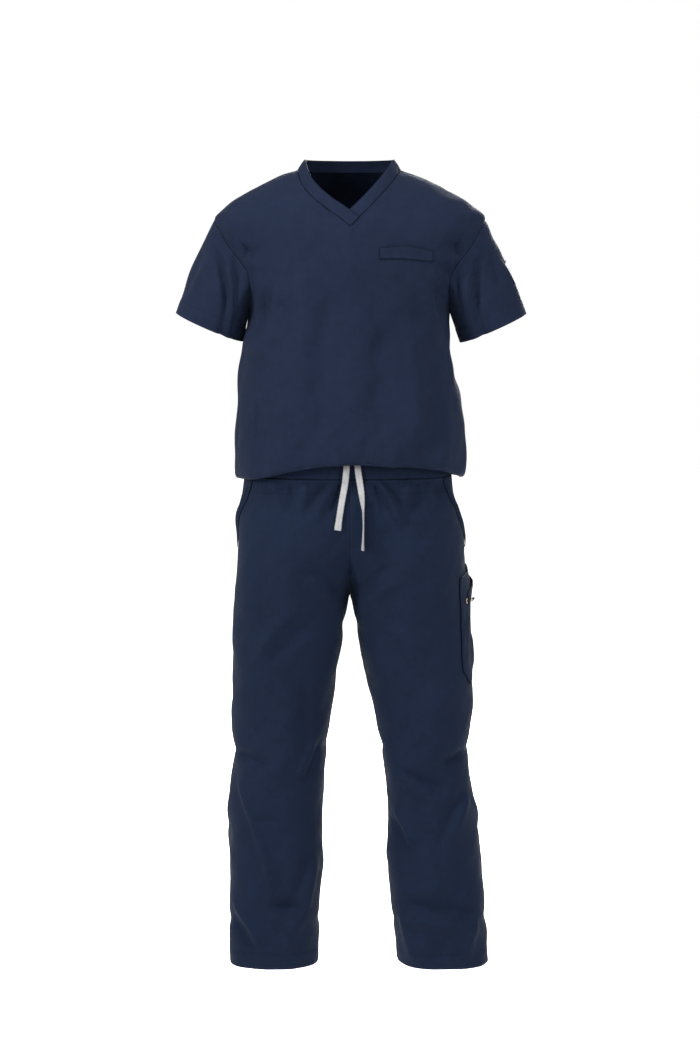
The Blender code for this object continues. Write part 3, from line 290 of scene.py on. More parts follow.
# On the legs, in front and behind: across and drop.
LEG_FRONT_CREASES = (
    # puckers under the waistband
    (50, 562, 88, 634, 3, 6, 7, 0.3),
    (62, 560, 98, 624, 3, -5, 7, 0),
    (42, 562, 64, 622, 2, -4.5, 6, 0),
    (108, 566, 92, 640, -3, 4.5, 8, 0),
    (122, 560, 114, 614, 0, -4, 8, 0),
    (26, 560, 34, 600, 0, 3, 5, 0),
    (-26, 562, -64, 628, -3, 6, 7, 0.3),
    (-38, 560, -78, 616, -3, -4.5, 7, 0),
    (-14, 562, -36, 618, 0, -4, 6, 0),
    (-78, 560, -90, 618, 0, 4, 8, 0),
    (-106, 562, -110, 620, 0, -4, 9, 0),
    (-136, 562, -130, 606, 0, 3, 8, 0),
    (146, 562, 140, 610, 0, 3, 8, 0),
    # drag lines to the crotch and down the thighs
    (-168, 880, -104, 796, 4, 4.5, 12, 0.3),
    (-150, 900, -80, 820, 4, -3.5, 14, 0),
    (-70, 720, -16, 764, 4, -3.5, 10, 0),
    (-76, 740, -24, 792, 4, 3.5, 10, 0),
    (70, 716, 14, 762, -4, -3.5, 10, 0),
    (82, 742, 26, 798, -4, 3.5, 10, 0),
    (150, 880, 70, 830, -4, 3.5, 14, 0),
    (-110, 640, -116, 880, 8, 4, 26, 0),
    (112, 650, 120, 900, -8, 4, 26, 0),
    (-160, 660, -164, 860, 4, -3.5, 18, 0),
    (66, 640, 60, 720, 3, -3, 14, 0),
    (-116, 920, -128, 1120, 6, 4, 22, 0),
    (150, 930, 146, 1100, 6, 4, 20, 0),
    (110, 940, 96, 1080, 4, -3.5, 14, 0),
    (-82, 930, -84, 1060, 4, -3.5, 14, 0),
    # knees
    (-216, 1070, -150, 1092, 4, -5.5, 10, 0.3),
    (-52, 1046, -80, 1116, 4, -5.5, 9, 0),
    (-66, 1040, -96, 1110, 4, 4, 10, 0),
    (96, 1104, 172, 1138, 4, -6, 10, 0.3),
    (100, 1126, 166, 1160, 4, 4.5, 11, 0),
    (222, 1064, 170, 1084, 3, -5, 10, 0),
    (85, 1176, 117, 1240, 3, 5, 9, 0.3),
    (74, 1190, 102, 1254, 3, -4.5, 9, 0),
    # shins
    (-210, 1120, -142, 1345, 10, 7.5, 15, 0.4),
    (-196, 1150, -122, 1350, 8, -5, 15, 0),
    (-142, 1355, -90, 1368, 3, -6.5, 10, 0.2),
    (-150, 1380, -100, 1392, 3, 4, 11, 0),
    (-222, 1350, -168, 1430, 4, 5.5, 11, 0.3),
    (-224, 1380, -180, 1450, 4, -4, 10, 0),
    (-57, 1255, -112, 1420, 6, 5.5, 13, -0.3),
    (-74, 1250, -130, 1400, 6, -4.5, 13, 0),
    (-172, 1190, -138, 1194, 0, -3.5, 8, 0),
    (226, 1146, 182, 1240, -4, 5.5, 11, 0.3),
    (212, 1140, 164, 1250, -4, -4.5, 12, 0),
    (94, 1355, 250, 1386, 8, -7.5, 13, 0.3),
    (100, 1386, 240, 1410, 8, 5, 14, 0),
    (92, 1378, 117, 1458, 3, 5, 10, 0),
    (242, 1380, 216, 1455, -3, 5, 10, 0),
    (140, 1240, 160, 1345, 6, 4.5, 16, 0),
    (196, 1260, 200, 1350, 4, -4, 14, 0),
    (160, 1410, 166, 1470, 3, -3.5, 13, 0),
    (-120, 1420, -112, 1474, 3, 3, 12, 0),
)
LEG_BACK_CREASES = (
    (-40, 562, -44, 620, 0, 3.5, 7, 0),
    (-70, 562, -78, 626, 0, -3.5, 8, 0),
    (-110, 562, -112, 616, 0, 3.5, 8, 0),
    (36, 562, 40, 620, 0, -3.5, 7, 0),
    (74, 562, 80, 624, 0, 3.5, 8, 0),
    (112, 562, 116, 616, 0, -3.5, 8, 0),
    (-150, 820, -40, 776, 10, -6.5, 14, 0.3),
    (-140, 850, -50, 812, 10, 5, 14, 0),
    (150, 824, 40, 780, -10, -6.5, 14, 0.3),
    (144, 852, 52, 814, -10, 5, 14, 0),
    (-120, 880, -126, 1030, 6, 4.5, 22, 0),
    (130, 880, 140, 1030, 6, 4.5, 22, 0),
    (-196, 1036, -80, 1076, 6, -7, 11, 0.3),
    (-190, 1062, -70, 1104, 6, 5, 12, 0),
    (-180, 1110, -90, 1090, 4, -5, 10, 0),
    (90, 1050, 206, 1086, 6, -7, 11, 0.3),
    (86, 1080, 200, 1112, 6, 5, 12, 0),
    (100, 1130, 196, 1108, 4, -5, 10, 0),
    (-180, 1190, -96, 1360, 8, 6.5, 16, 0.3),
    (-160, 1190, -80, 1350, 8, -5, 14, 0),
    (120, 1200, 214, 1370, 8, 6.5, 16, -0.3),
    (104, 1210, 190, 1370, 8, -5, 14, 0),
    (-200, 1390, -100, 1412, 6, -6, 12, 0.2),
    (110, 1396, 230, 1416, 6, -6, 12, 0.2),
    (-150, 1420, -140, 1470, 3, 4, 14, 0),
    (180, 1424, 184, 1470, 3, 4, 14, 0),
)
# Round the outseams and the inseams: behind (+) or ahead (-) of the seam, and drop.
OUTSEAM_CREASES = (
    (-70, 1074, 60, 1066, 3, -2.6, 14, 0.2),
    (-60, 960, 20, 1030, 4, 1.8, 16, 0),
    (-30, 1160, 40, 1290, 6, 2.6, 18, 0.2),
    (20, 1170, -30, 1330, 6, -2, 17, 0),
    (-50, 1396, 50, 1402, 4, -2.2, 14, 0.2),
)
INSEAM_CREASES = (
    (-50, 830, 40, 850, 4, -2.2, 16, 0),
    (-50, 1060, 50, 1070, 4, -2.4, 15, 0.2),
    (-40, 1240, 30, 1330, 4, 2.2, 16, 0),
    (-50, 1400, 50, 1396, 4, -2, 14, 0),
)
# Slow unevenness of all the cloth: waves per metre along X, Y and Z, phase and height.
RUMPLE_ROWS = (
    (5.3, 3.1, 1.7, 0.4, 0.0011),
    (-7.9, 4.7, 3.3, 1.9, 0.0009),
    (11.3, -6.1, 4.9, 2.7, 0.0006),
    (3.7, 8.3, -8.9, 5.1, 0.0006),
    (-15.1, 9.7, 12.7, 0.9, 0.0004),
    (19.3, 14.9, -16.1, 3.6, 0.0003),
)


# ---------------------------------------------------------------- reading the tables

def column(rows, names, name):
    return np.array([row[names.index(name)] for row in rows], dtype=float)


def smooth(rows, names, name, at):
    """A smooth curve through one column of a table, against its first column."""
    x = column(rows, names, names[0])
    y = column(rows, names, name)
    step = np.diff(x)
    slope = np.diff(y) / step
    bend = np.zeros(len(x))
    same = slope[:-1] * slope[1:] > 0
    wide = 2 * step[1:] + step[:-1]
    narrow = step[1:] + 2 * step[:-1]
    inner = np.zeros(len(slope) - 1)
    weights = wide[same] / slope[:-1][same] + narrow[same] / slope[1:][same]
    inner[same] = (wide + narrow)[same] / weights
    bend[1:-1] = inner
    bend[0], bend[-1] = slope[0], slope[-1]
    at = np.clip(np.asarray(at, dtype=float), x[0], x[-1])
    cell = np.clip(np.searchsorted(x, at, side="right") - 1, 0, len(step) - 1)
    share = (at - x[cell]) / step[cell]
    near = y[cell] * (1 + 2 * share) * (1 - share) ** 2 + bend[cell] * step[cell] * share * (1 - share) ** 2
    far = y[cell + 1] * share ** 2 * (3 - 2 * share) - bend[cell + 1] * step[cell] * share ** 2 * (1 - share)
    return near + far


def side_name(side):
    return "right" if side == RIGHT else "left"


def face_name(face):
    return "front" if face == FRONT else "back"


def unit(vectors):
    return vectors / np.maximum(np.linalg.norm(vectors, axis=-1, keepdims=True), 1e-12)


def ease(low, high, value):
    """0 below low and 1 above high, with a smooth rise between."""
    share = np.clip((value - low) / (high - low), 0, 1)
    return share * share * (3 - 2 * share)


def top_girth(name, drop):
    return smooth(TOP_ROWS, TOP_COLUMNS, name, drop)


def leg_girth(name, drop):
    return smooth(TROUSER_ROWS, TROUSER_COLUMNS, name, drop)


def gone_on(points):
    """Length passed at each point of a line."""
    steps = np.linalg.norm(np.diff(points, axis=0), axis=1)
    return np.concatenate([[0], np.cumsum(steps)])


def at_lengths(at, gone, values):
    """A line's places or normals at these lengths along it."""
    return np.stack([np.interp(at, gone, values[:, k]) for k in range(3)], -1)


# ---------------------------------------------------------------- the top's surface

def ring(side, face, width, depth, turn):
    """A quarter section: turn 0 is at the side and a quarter circle is at the centre."""
    across = width * np.abs(np.cos(turn)) ** (2 / SQUARENESS)
    out = depth * np.abs(np.sin(turn)) ** (2 / SQUARENESS)
    return side * across, face * out


def turn_at(across, width):
    """The turn at which a section of this half width lies so far from the centre plane."""
    return np.arccos(np.clip(across / width, 0, 1) ** (SQUARENESS / 2))


def body_point(side, face, turn, drop):
    width = top_girth(side_name(side), drop)
    depth = top_girth(face_name(face), drop)
    x, y = ring(side, face, width, depth, turn)
    return np.stack([x, y, -drop + 0 * x], -1)


def armhole_edge(side, face, rise):
    """The armhole in turn and drop, from the underarm (rise 0) to the shoulder tip (1)."""
    drop = UNDERARM_DROP - (UNDERARM_DROP - SHOULDER_TIP_DROP) * rise ** 1.3
    width = top_girth(side_name(side), drop)
    across = smooth(ARMHOLE_ROWS, ARMHOLE_COLUMNS, face_name(face), drop)
    ends = np.minimum(1, np.minimum(rise, 1 - rise) * 12)
    return turn_at(np.minimum(across, width), width) * ends ** 0.5, drop


def upper_edge(side, face, share, shoulder_share):
    """The shoulder seam and then the neckline, in turn and drop, from the tip to the centre."""
    along = np.clip(share / shoulder_share, 0, 1)
    seam_drop = NECK_POINT_DROP + (SHOULDER_TIP_DROP - NECK_POINT_DROP) * (1 - along) ** 1.6
    neck = np.clip((share - shoulder_share) / (1 - shoulder_share), 0, 1)
    if face == BACK:
        neck_drop = NECK_POINT_DROP + (BACK_NECK_DROP - NECK_POINT_DROP) * neck
        return neck * math.pi / 2, np.where(share < shoulder_share, seam_drop, neck_drop)
    name = side_name(side)
    across = smooth(NECKLINE_ROWS, NECKLINE_COLUMNS, name + "_across", 1 - neck)
    neck_drop = smooth(NECKLINE_ROWS, NECKLINE_COLUMNS, name + "_drop", 1 - neck)
    width = top_girth(name, neck_drop)
    start = top_girth(name, NECK_POINT_DROP + 0 * share)
    turn = turn_at(across * np.where(neck > 0, 1, start / np.maximum(across, 1e-6)), width)
    return np.where(share < shoulder_share, 0, turn), np.where(share < shoulder_share, seam_drop, neck_drop)


def yoke_point(side, face, share, rise, shoulder_share):
    """The top from the underarm up: share runs from the side to the centre, rise upwards."""
    quarter = math.pi / 2
    centre_drop = V_TIP_DROP if face == FRONT else BACK_NECK_DROP
    low = (quarter * share, UNDERARM_DROP + 0 * share)
    high = upper_edge(side, face, share, shoulder_share)
    out = armhole_edge(side, face, rise)
    middle = (quarter + 0 * rise, UNDERARM_DROP + (centre_drop - UNDERARM_DROP) * rise ** 1.15)
    corners = ((0, UNDERARM_DROP), (quarter, UNDERARM_DROP), (0, SHOULDER_TIP_DROP), (quarter, centre_drop))
    placed = []
    for k in (0, 1):
        ruled = (1 - rise) * low[k] + rise * high[k] + (1 - share) * out[k] + share * middle[k]
        bottom = (1 - share) * corners[0][k] + share * corners[1][k]
        top = (1 - share) * corners[2][k] + share * corners[3][k]
        placed.append(ruled - (1 - rise) * bottom - rise * top)
    return body_point(side, face, np.clip(placed[0], 0, quarter), placed[1])


def fold_drop(side, face, turn):
    """The lowest line of the rolled fold, lifted at the centre."""
    if face == BACK:
        return FOLD_SIDE_DROP - FOLD_LIFT_BACK * np.sin(turn) ** 2
    power = 4 if side == RIGHT else 1.2
    return FOLD_SIDE_DROP - FOLD_LIFT * np.sin(turn) ** power


def roll_point(side, face, turn, step):
    """The top from where it starts to roll under, round to its tucked-in hem."""
    lowest = fold_drop(side, face, turn)
    start = lowest - (FOLD_SIDE_DROP - BLOUSE_DROP)
    fall, out, clear = (smooth(ROLL_ROWS, ROLL_COLUMNS, name, step) for name in ROLL_COLUMNS[1:])
    over_names = OVER_BAND_COLUMNS[1:]
    above, over_clear = (smooth(OVER_BAND_ROWS, OVER_BAND_COLUMNS, name, step) for name in over_names)
    going_down = start + (lowest - start) * fall
    coming_up = lowest + (WAIST_TOP_DROP - lowest) * (fall - 1)
    drop = np.where(fall < 1, going_down, coming_up)
    tuck = np.clip((step - ROLL_TUCK) / (ROLL_END - ROLL_TUCK), 0, 1)
    over = WAIST_TOP_DROP - above + tuck * (TUCKED_HEM_DROP - WAIST_TOP_DROP - 0.004)
    past = step > ROLL_OVER_BAND
    drop = np.where(past, over, drop)
    clear = np.where(past, over_clear - 0.003 * tuck, clear)
    out = np.where(past, 0, out)
    body = np.minimum(drop, BLOUSE_DROP + 0.07)
    names = (side_name(side), face_name(face))
    full = [top_girth(name, body) for name in names]
    band = [leg_girth(name, np.minimum(drop, WAIST_SEAM_DROP)) for name in names]
    width, depth = (b + (f - b) * out + clear for f, b in zip(full, band))
    x, y = ring(side, face, width, depth, turn)
    return np.stack([x, y, -drop + 0 * x], -1)


# ---------------------------------------------------------------- the trousers' surface

def trouser_point(side, face, round_leg, drop):
    """round_leg runs from the outseam (0) to the centre seam or the inseam (1)."""
    name = side_name(side)
    outer = leg_girth(name, drop)
    inner = leg_girth(name + "_inner", drop)
    depth = leg_girth(face_name(face), drop)
    above = np.clip((CROTCH_DROP - drop) / (CROTCH_DROP - FORK_TOP_DROP), 0, 1)
    inner = np.where(above > 0, -outer * above ** FORK_CURVE, inner)
    middle, half = (outer + inner) / 2, (outer - inner) / 2
    reach = np.arccos(-np.clip((middle - 0.0001) / half, 0, 1) ** (SQUARENESS / 2))
    angle = round_leg * np.where(above > 0, reach, math.pi)
    swell = np.sign(np.cos(angle)) * np.abs(np.cos(angle)) ** (2 / SQUARENESS)
    x = middle + half * swell
    y = depth * np.abs(np.sin(angle)) ** (2 / SQUARENESS)
    return np.stack([side * x, face * y, -drop + 0 * x], -1)


def leg_middle(side, drop):
    """How far across the middle of a leg lies; both legs share the centre plane above the fork."""
    name = side_name(side)
    outer = leg_girth(name, drop)
    inner = leg_girth(name + "_inner", drop)
    return side * (outer + inner) / 2


# ---------------------------------------------------------------- creases and seams

RELIEF = 1.45             # how strongly all the creases stand


def crease_height(rows, across, drop):
    """How far a table's creases lift the cloth at each place."""
    total = np.zeros_like(across)
    for row in rows:
        crease = dict(zip(CREASE_COLUMNS, np.array(row) / CREASE_UNITS))
        run = (crease["a1"] - crease["a0"], crease["drop1"] - crease["drop0"])
        length = math.hypot(*run)
        along = ((across - crease["a0"]) * run[0] + (drop - crease["drop0"]) * run[1]) / length
        aside = ((across - crease["a0"]) * run[1] - (drop - crease["drop0"]) * run[0]) / length
        share = np.clip(along / length, 0, 1)
        aside = aside - crease["bow"] * 4 * share * (1 - share)
        leaning = 1 + crease["lean"] * np.tanh(2 * aside / crease["half"])
        half = crease["half"] * (0.75 + 0.5 * share) * leaning
        beyond = np.maximum(0, np.abs(along - length / 2) - length * 0.28)
        beyond = beyond / (length * 0.22 + crease["half"] * 0.6)
        total += RELIEF * crease["rise"] * np.exp(-(np.abs(aside / half) ** 1.8) - 2 * beyond ** 2)
    return total


def rumple_height(points):
    """Slow unevenness, the same on both sides of every seam."""
    total = np.zeros(points.shape[:-1])
    for x_waves, y_waves, z_waves, phase, height in RUMPLE_ROWS:
        turns = points[..., 0] * x_waves + points[..., 1] * y_waves + points[..., 2] * z_waves
        bent = phase + 0.8 * np.sin(4.1 * points[..., 2] * 2 * math.pi / 3 + phase)
        total += height * np.sin(2 * math.pi * turns + bent)
    return total


def grid_normals(points, sign):
    down = np.gradient(points, axis=0)
    along = np.gradient(points, axis=1)
    return unit(np.cross(down, along) * sign)


def level_at_seams(points, normals):
    """At a seam in the side plane or the centre plane, both pieces' normals lie in that plane."""
    for edge in ((0, slice(None)), (-1, slice(None)), (slice(None), 0), (slice(None), -1)):
        for axis in (0, 1):
            in_plane = np.abs(points[edge][:, axis]) < 0.0005
            flat = normals[edge].copy()
            flat[in_plane, axis] = 0
            normals[edge] = unit(flat)
    return normals


def gone_along(points, axis):
    """Length of cloth passed since the grid's first row (axis 0) or first column (axis 1)."""
    steps = np.linalg.norm(np.diff(points, axis=axis), axis=-1)
    start = np.zeros_like(np.take(steps, [0], axis=axis))
    return np.concatenate([start, np.cumsum(steps, axis=axis)], axis=axis)


class Panel:
    """A curved sheet: a grid of points with its outward normals and its own cloth lengths."""

    def __init__(self, points, inside):
        self.points = points
        raw = grid_normals(points, 1)
        self.sign = 1 if np.sum(raw * (points - inside)) > 0 else -1
        self.renew()

    def renew(self):
        self.normals = level_at_seams(self.points, grid_normals(self.points, self.sign))
        self.down = gone_along(self.points, 0)
        self.along = gone_along(self.points, 1)

    def moved(self, height):
        self.points = self.points + self.normals * height[..., None]
        self.renew()

    def from_edge(self, edge):
        """Cloth length from the first or last row ("top", "bottom") or column ("start", "end")."""
        if edge == "top":
            return self.down
        if edge == "bottom":
            return self.down[-1:] - self.down
        if edge == "start":
            return self.along
        return self.along[:, -1:] - self.along

    def line(self, edge, distance, first=0.0, last=1.0):
        """A line on the cloth at this distance from an edge, with the normals along it."""
        far = self.from_edge(edge)
        points, normals = self.points, self.normals
        if edge in ("top", "bottom"):
            far, points, normals = far.T, points.transpose(1, 0, 2), normals.transpose(1, 0, 2)
        if edge in ("bottom", "end"):
            far, points, normals = far[:, ::-1], points[:, ::-1], normals[:, ::-1]
        count = len(far)
        spots, facing = [], []
        for k in range(int(first * (count - 1)), int(last * (count - 1)) + 1):
            if far[k, -1] < distance:
                continue
            spots.append([np.interp(distance, far[k], points[k, :, axis]) for axis in range(3)])
            facing.append([np.interp(distance, far[k], normals[k, :, axis]) for axis in range(3)])
        return np.array(spots), unit(np.array(facing))


# ---------------------------------------------------------------- meshes

NO_SEAM = 9.0             # a length from seams that stands for none near


def plain_object(name, verts, faces):
    mesh = bpy.data.meshes.new(name)
    mesh.from_pydata(np.asarray(verts, dtype=float).tolist(), [], faces)
    mesh.validate()
    mesh.shade_smooth()
    obj = bpy.data.objects.new(name, mesh)
    bpy.context.scene.collection.objects.link(obj)
    return obj


def named_uv(mesh, name, per_vertex):
    corner = np.zeros(len(mesh.loops), dtype=np.int64)
    mesh.loops.foreach_get("vertex_index", corner)
    layer = mesh.uv_layers.new(name=name)
    layer.data.foreach_set("uv", per_vertex[corner].astype(np.float32).ravel())


def cloth(name, panel, finish, replaced, wall, seams):
    """A closed wall of cloth from a panel, with a weave map and a map of its nearness to seams, which the
    finishes read for bumps, worn edges and painted shade.
    """
    points, normals = panel.points, panel.normals
    rows, cols = points.shape[:2]
    count = rows * cols
    verts = np.concatenate([points.reshape(-1, 3), (points - normals * wall).reshape(-1, 3)])
    row, col = np.meshgrid(np.arange(rows - 1), np.arange(cols - 1), indexing="ij")
    corner = (row * cols + col).ravel()
    quads = np.stack([corner, corner + cols, corner + cols + 1, corner + 1], -1)
    border = [k for k in range(cols)]
    border += [k * cols + cols - 1 for k in range(1, rows)]
    border += [(rows - 1) * cols + k for k in range(cols - 2, -1, -1)]
    border += [k * cols for k in range(rows - 2, 0, -1)]
    border = np.array(border)
    after = np.roll(border, -1)
    rim = np.stack([border, after, after + count, border + count], -1)
    faces = np.concatenate([quads, quads[:, ::-1] + count, rim])
    if panel.sign < 0:
        faces = faces[:, ::-1]
    obj = plain_object(name, verts, faces.tolist())
    obj.data.set_sharp_from_angle(angle=math.radians(60))
    middle = panel.along[:, cols // 2][:, None]
    weave = np.stack([panel.along - middle, panel.down], -1).reshape(-1, 2)
    named_uv(obj.data, "weave", np.concatenate([weave, weave]))
    far = NO_SEAM + np.zeros((rows, cols))
    beside = [panel.from_edge(edge) for edge in ("start", "end") if edge in seams]
    ends = [panel.from_edge(edge) for edge in ("top", "bottom") if edge in seams]
    nearest = [np.minimum.reduce([far] + lengths) for lengths in (beside, ends)]
    nearness = np.stack(nearest, -1).reshape(-1, 2)
    named_uv(obj.data, "seams", np.concatenate([nearness, nearness]))
    return dressed(obj, finish, replaced)


def dressed(obj, finish, replaced=()):
    obj.data.materials.clear()
    obj.data.materials.append(finish)
    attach(obj, "root")
    if replaced:
        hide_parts(*replaced)
    return obj


# One stitch: a short thread with rounded ends, as shares of its length, width and height.
STITCH_SHAPE = (
    (-0.50, 0.0, 0.0),
    (-0.34, 0.5, 0.3), (-0.34, 0.0, 1.0), (-0.34, -0.5, 0.3),
    (0.34, 0.5, 0.3), (0.34, 0.0, 1.0), (0.34, -0.5, 0.3),
    (0.50, 0.0, 0.0),
    (-0.34, 0.0, -0.6), (0.34, 0.0, -0.6),
)
STITCH_FACES = (
    (0, 1, 2), (0, 2, 3), (0, 8, 1), (0, 3, 8),
    (1, 4, 5, 2), (2, 5, 6, 3), (8, 9, 4, 1), (3, 6, 9, 8),
    (7, 5, 4), (7, 6, 5), (7, 4, 9), (7, 9, 6),
)
STITCH_PITCH, STITCH_LENGTH, STITCH_WIDTH = 0.0034, 0.0026, 0.0006
STITCH_AIM = 0.0008       # how far before and after a stitch its direction is read
stitch_lines = {"top_stitches": [], "trouser_stitches": []}


def stitched(group, path):
    """Adds a row of stitches along a line on the cloth."""
    points, normals = path
    if len(points) < 2:
        return
    gone = gone_on(points)
    count = int(gone[-1] / STITCH_PITCH)
    at = (np.arange(count) + 0.5) * STITCH_PITCH
    middle = at_lengths(at, gone, points)
    up = unit(at_lengths(at, gone, normals))
    run = unit(at_lengths(at + STITCH_AIM, gone, points) - at_lengths(at - STITCH_AIM, gone, points))
    aside = unit(np.cross(up, run))
    stitch_lines[group].append((middle, run, aside, unit(np.cross(run, aside))))


def make_stitches(group, finish):
    shape = np.array(STITCH_SHAPE)
    verts, faces, base = [], [], 0
    for middle, run, aside, up in stitch_lines[group]:
        for k in range(len(middle)):
            placed = middle[k] + shape[:, 0:1] * run[k] * STITCH_LENGTH
            placed = placed + shape[:, 1:2] * aside[k] * STITCH_WIDTH
            verts.append(placed + shape[:, 2:3] * up[k] * STITCH_WIDTH * 0.45)
            faces.extend([tuple(base + i for i in face) for face in STITCH_FACES])
            base += len(shape)
    obj = plain_object(group, np.concatenate(verts), faces)
    return dressed(obj, finish)


# ---------------------------------------------------------------- finishes

NAVY_TOP = (0.0038, 0.0061, 0.0138, 1.0)
NAVY_TROUSER = (0.0032, 0.0056, 0.0128, 1.0)
NAVY_THREAD = (0.0054, 0.0086, 0.0190, 1.0)
TAPE_WHITE = (0.150, 0.148, 0.153, 1.0)
LABEL_WHITE = (0.27, 0.275, 0.285, 1.0)
BRASS = (0.30, 0.225, 0.12, 1.0)
BLACK_ELASTIC = (0.0035, 0.0035, 0.0040, 1.0)
BLACK_PLASTIC = (0.0040, 0.0040, 0.0045, 1.0)
NAP_TINT = (0.55, 0.62, 0.80, 1.0)
TWILL_PITCH = 0.0011      # between the diagonal ribs
TWILL_SLOPE = (0.82, 0.57)


def add_node(tree, kind, label, **settings):
    made = tree.nodes.new(kind)
    made.name = made.label = label
    for key, value in settings.items():
        setattr(made, key, value)
    return made


def add_math(tree, operation, first, second=None, third=None):
    """A math node; each operand is a number or another node's output."""
    made = tree.nodes.new("ShaderNodeMath")
    made.operation = operation
    for socket, operand in zip(made.inputs, (first, second, third)):
        if operand is None:
            continue
        if isinstance(operand, (int, float)):
            socket.default_value = operand
        else:
            tree.links.new(operand, socket)
    return made.outputs[0]


def set_inputs(node, **values):
    for name, value in values.items():
        node.inputs[name.replace("_", " ")].default_value = value


def add_noise(tree, label, place, scale, detail):
    made = add_node(tree, "ShaderNodeTexNoise", label)
    set_inputs(made, Scale=scale, Detail=detail)
    tree.links.new(place, made.inputs["Vector"])
    return made.outputs["Fac"]


def add_range(tree, value, low, high, to_low, to_high):
    made = tree.nodes.new("ShaderNodeMapRange")
    made.interpolation_type = "SMOOTHSTEP"
    tree.links.new(value, made.inputs["Value"])
    set_inputs(made, From_Min=low, From_Max=high, To_Min=to_low, To_Max=to_high)
    return made.outputs["Result"]


def new_group(name, inputs, outputs):
    """A node group with the given sockets; returns the group, its input and its output nodes."""
    group = bpy.data.node_groups.new(name, "ShaderNodeTree")
    for socket, kind in inputs:
        group.interface.new_socket(socket, in_out="INPUT", socket_type=kind)
    for socket, kind in outputs:
        group.interface.new_socket(socket, in_out="OUTPUT", socket_type=kind)
    return group, group.nodes.new("NodeGroupInput"), group.nodes.new("NodeGroupOutput")


def twill_group():
    """Diagonal ribs of yarn over the cloth's own lengths, with slubs that break them up."""
    group, given, made = new_group(
        "twill_weave",
        [("Weave", "NodeSocketVector"), ("Pitch", "NodeSocketFloat")],
        [("Rib", "NodeSocketFloat"), ("Slub", "NodeSocketFloat")],
    )
    parts = add_node(group, "ShaderNodeSeparateXYZ", "cloth lengths")
    group.links.new(given.outputs["Weave"], parts.inputs[0])
    slope = add_math(group, "MULTIPLY", parts.outputs["X"], TWILL_SLOPE[0])
    slope = add_math(group, "MULTIPLY_ADD", parts.outputs["Y"], TWILL_SLOPE[1], slope)
    slub = add_noise(group, "slubs", given.outputs["Weave"], 420, 2)
    turns = add_math(group, "DIVIDE", slope, given.outputs["Pitch"])
    turns = add_math(group, "MULTIPLY_ADD", slub, 0.5, turns)
    wave = add_math(group, "SINE", add_math(group, "MULTIPLY", turns, 2 * math.pi))
    group.links.new(add_math(group, "MULTIPLY_ADD", wave, 0.5, 0.5), made.inputs["Rib"])
    group.links.new(slub, made.inputs["Slub"])
    return group


def seam_group():
    """Seams sink, their edges stand up and stitched lines pull the cloth down beside them; Shade is painted
    shade that darkens the seams and the stitched grooves.
    """
    group, given, made = new_group(
        "sewn_edges",
        [("Seams", "NodeSocketVector"), ("Side Line", "NodeSocketFloat"), ("End Line", "NodeSocketFloat")],
        [("Height", "NodeSocketFloat"), ("Shade", "NodeSocketFloat"), ("Wear", "NodeSocketFloat")],
    )
    parts = add_node(group, "ShaderNodeSeparateXYZ", "lengths from seams")
    group.links.new(given.outputs["Seams"], parts.inputs[0])
    heights, shades, wears = [], [], []
    for axis, line in (("X", "Side Line"), ("Y", "End Line")):
        far = parts.outputs[axis]
        rise = add_range(group, far, 0.0, 0.0016, 0.0, 1.0)
        beside = add_math(group, "ABSOLUTE", add_math(group, "SUBTRACT", far, given.outputs[line]))
        groove = add_range(group, beside, 0.0003, 0.0016, 1.0, 0.0)
        heights.append(add_math(group, "MULTIPLY_ADD", groove, -0.55, rise))
        # painted shade: the colour darkens at the seam and along the stitched groove, where shade falls in
        # the sunken cloth
        shades.append(add_math(group, "MULTIPLY", add_math(group, "MULTIPLY_ADD", groove, -0.16, 1.0),
                               add_range(group, far, 0.0, 0.0018, 0.40, 1.0)))
        wears.append(add_math(group, "MULTIPLY", add_range(group, far, 0.0008, 0.0022, 0.0, 1.0),
                              add_range(group, far, 0.0022, 0.0060, 1.0, 0.0)))
    group.links.new(add_math(group, "ADD", *heights), made.inputs["Height"])
    group.links.new(add_math(group, "MULTIPLY", *shades), made.inputs["Shade"])
    group.links.new(add_math(group, "MAXIMUM", *wears), made.inputs["Wear"])
    return group


def tone_group():
    """Slow and fine changes of tone over the whole garment."""
    group, given, made = new_group(
        "dyed_tone",
        [("Place", "NodeSocketVector")],
        [("Tone", "NodeSocketFloat"), ("Fuzz", "NodeSocketFloat")],
    )
    total = None
    for label, scale, detail, depth in (("cloudy dye", 5.0, 2.0, 0.05), ("worn nap", 90.0, 4.0, 0.10)):
        noise = add_noise(group, label, given.outputs["Place"], scale, detail)
        part = add_range(group, noise, 0.25, 0.75, 1.0 - depth, 1.0 + depth)
        total = part if total is None else add_math(group, "MULTIPLY", total, part)
    group.links.new(total, made.inputs["Tone"])
    group.links.new(noise, made.inputs["Fuzz"])
    return group


def shader_of(name):
    made = bpy.data.materials.new(name)
    made.use_nodes = True
    return made, made.node_tree, made.node_tree.nodes["Principled BSDF"]


def placed_group(tree, group, **sources):
    made = tree.nodes.new("ShaderNodeGroup")
    made.node_tree = group
    made.label = group.name
    for socket, source in sources.items():
        socket = made.inputs[socket.replace("_", " ")]
        if isinstance(source, (int, float)):
            socket.default_value = source
        else:
            tree.links.new(source, socket)
    return made


def scaled_colour(tree, colour, factor):
    mix = tree.nodes.new("ShaderNodeMix")
    mix.data_type = "RGBA"
    mix.blend_type = "MULTIPLY"
    set_inputs(mix, Factor=1.0, A=colour)
    tree.links.new(factor, mix.inputs["B"])
    return mix.outputs["Result"]


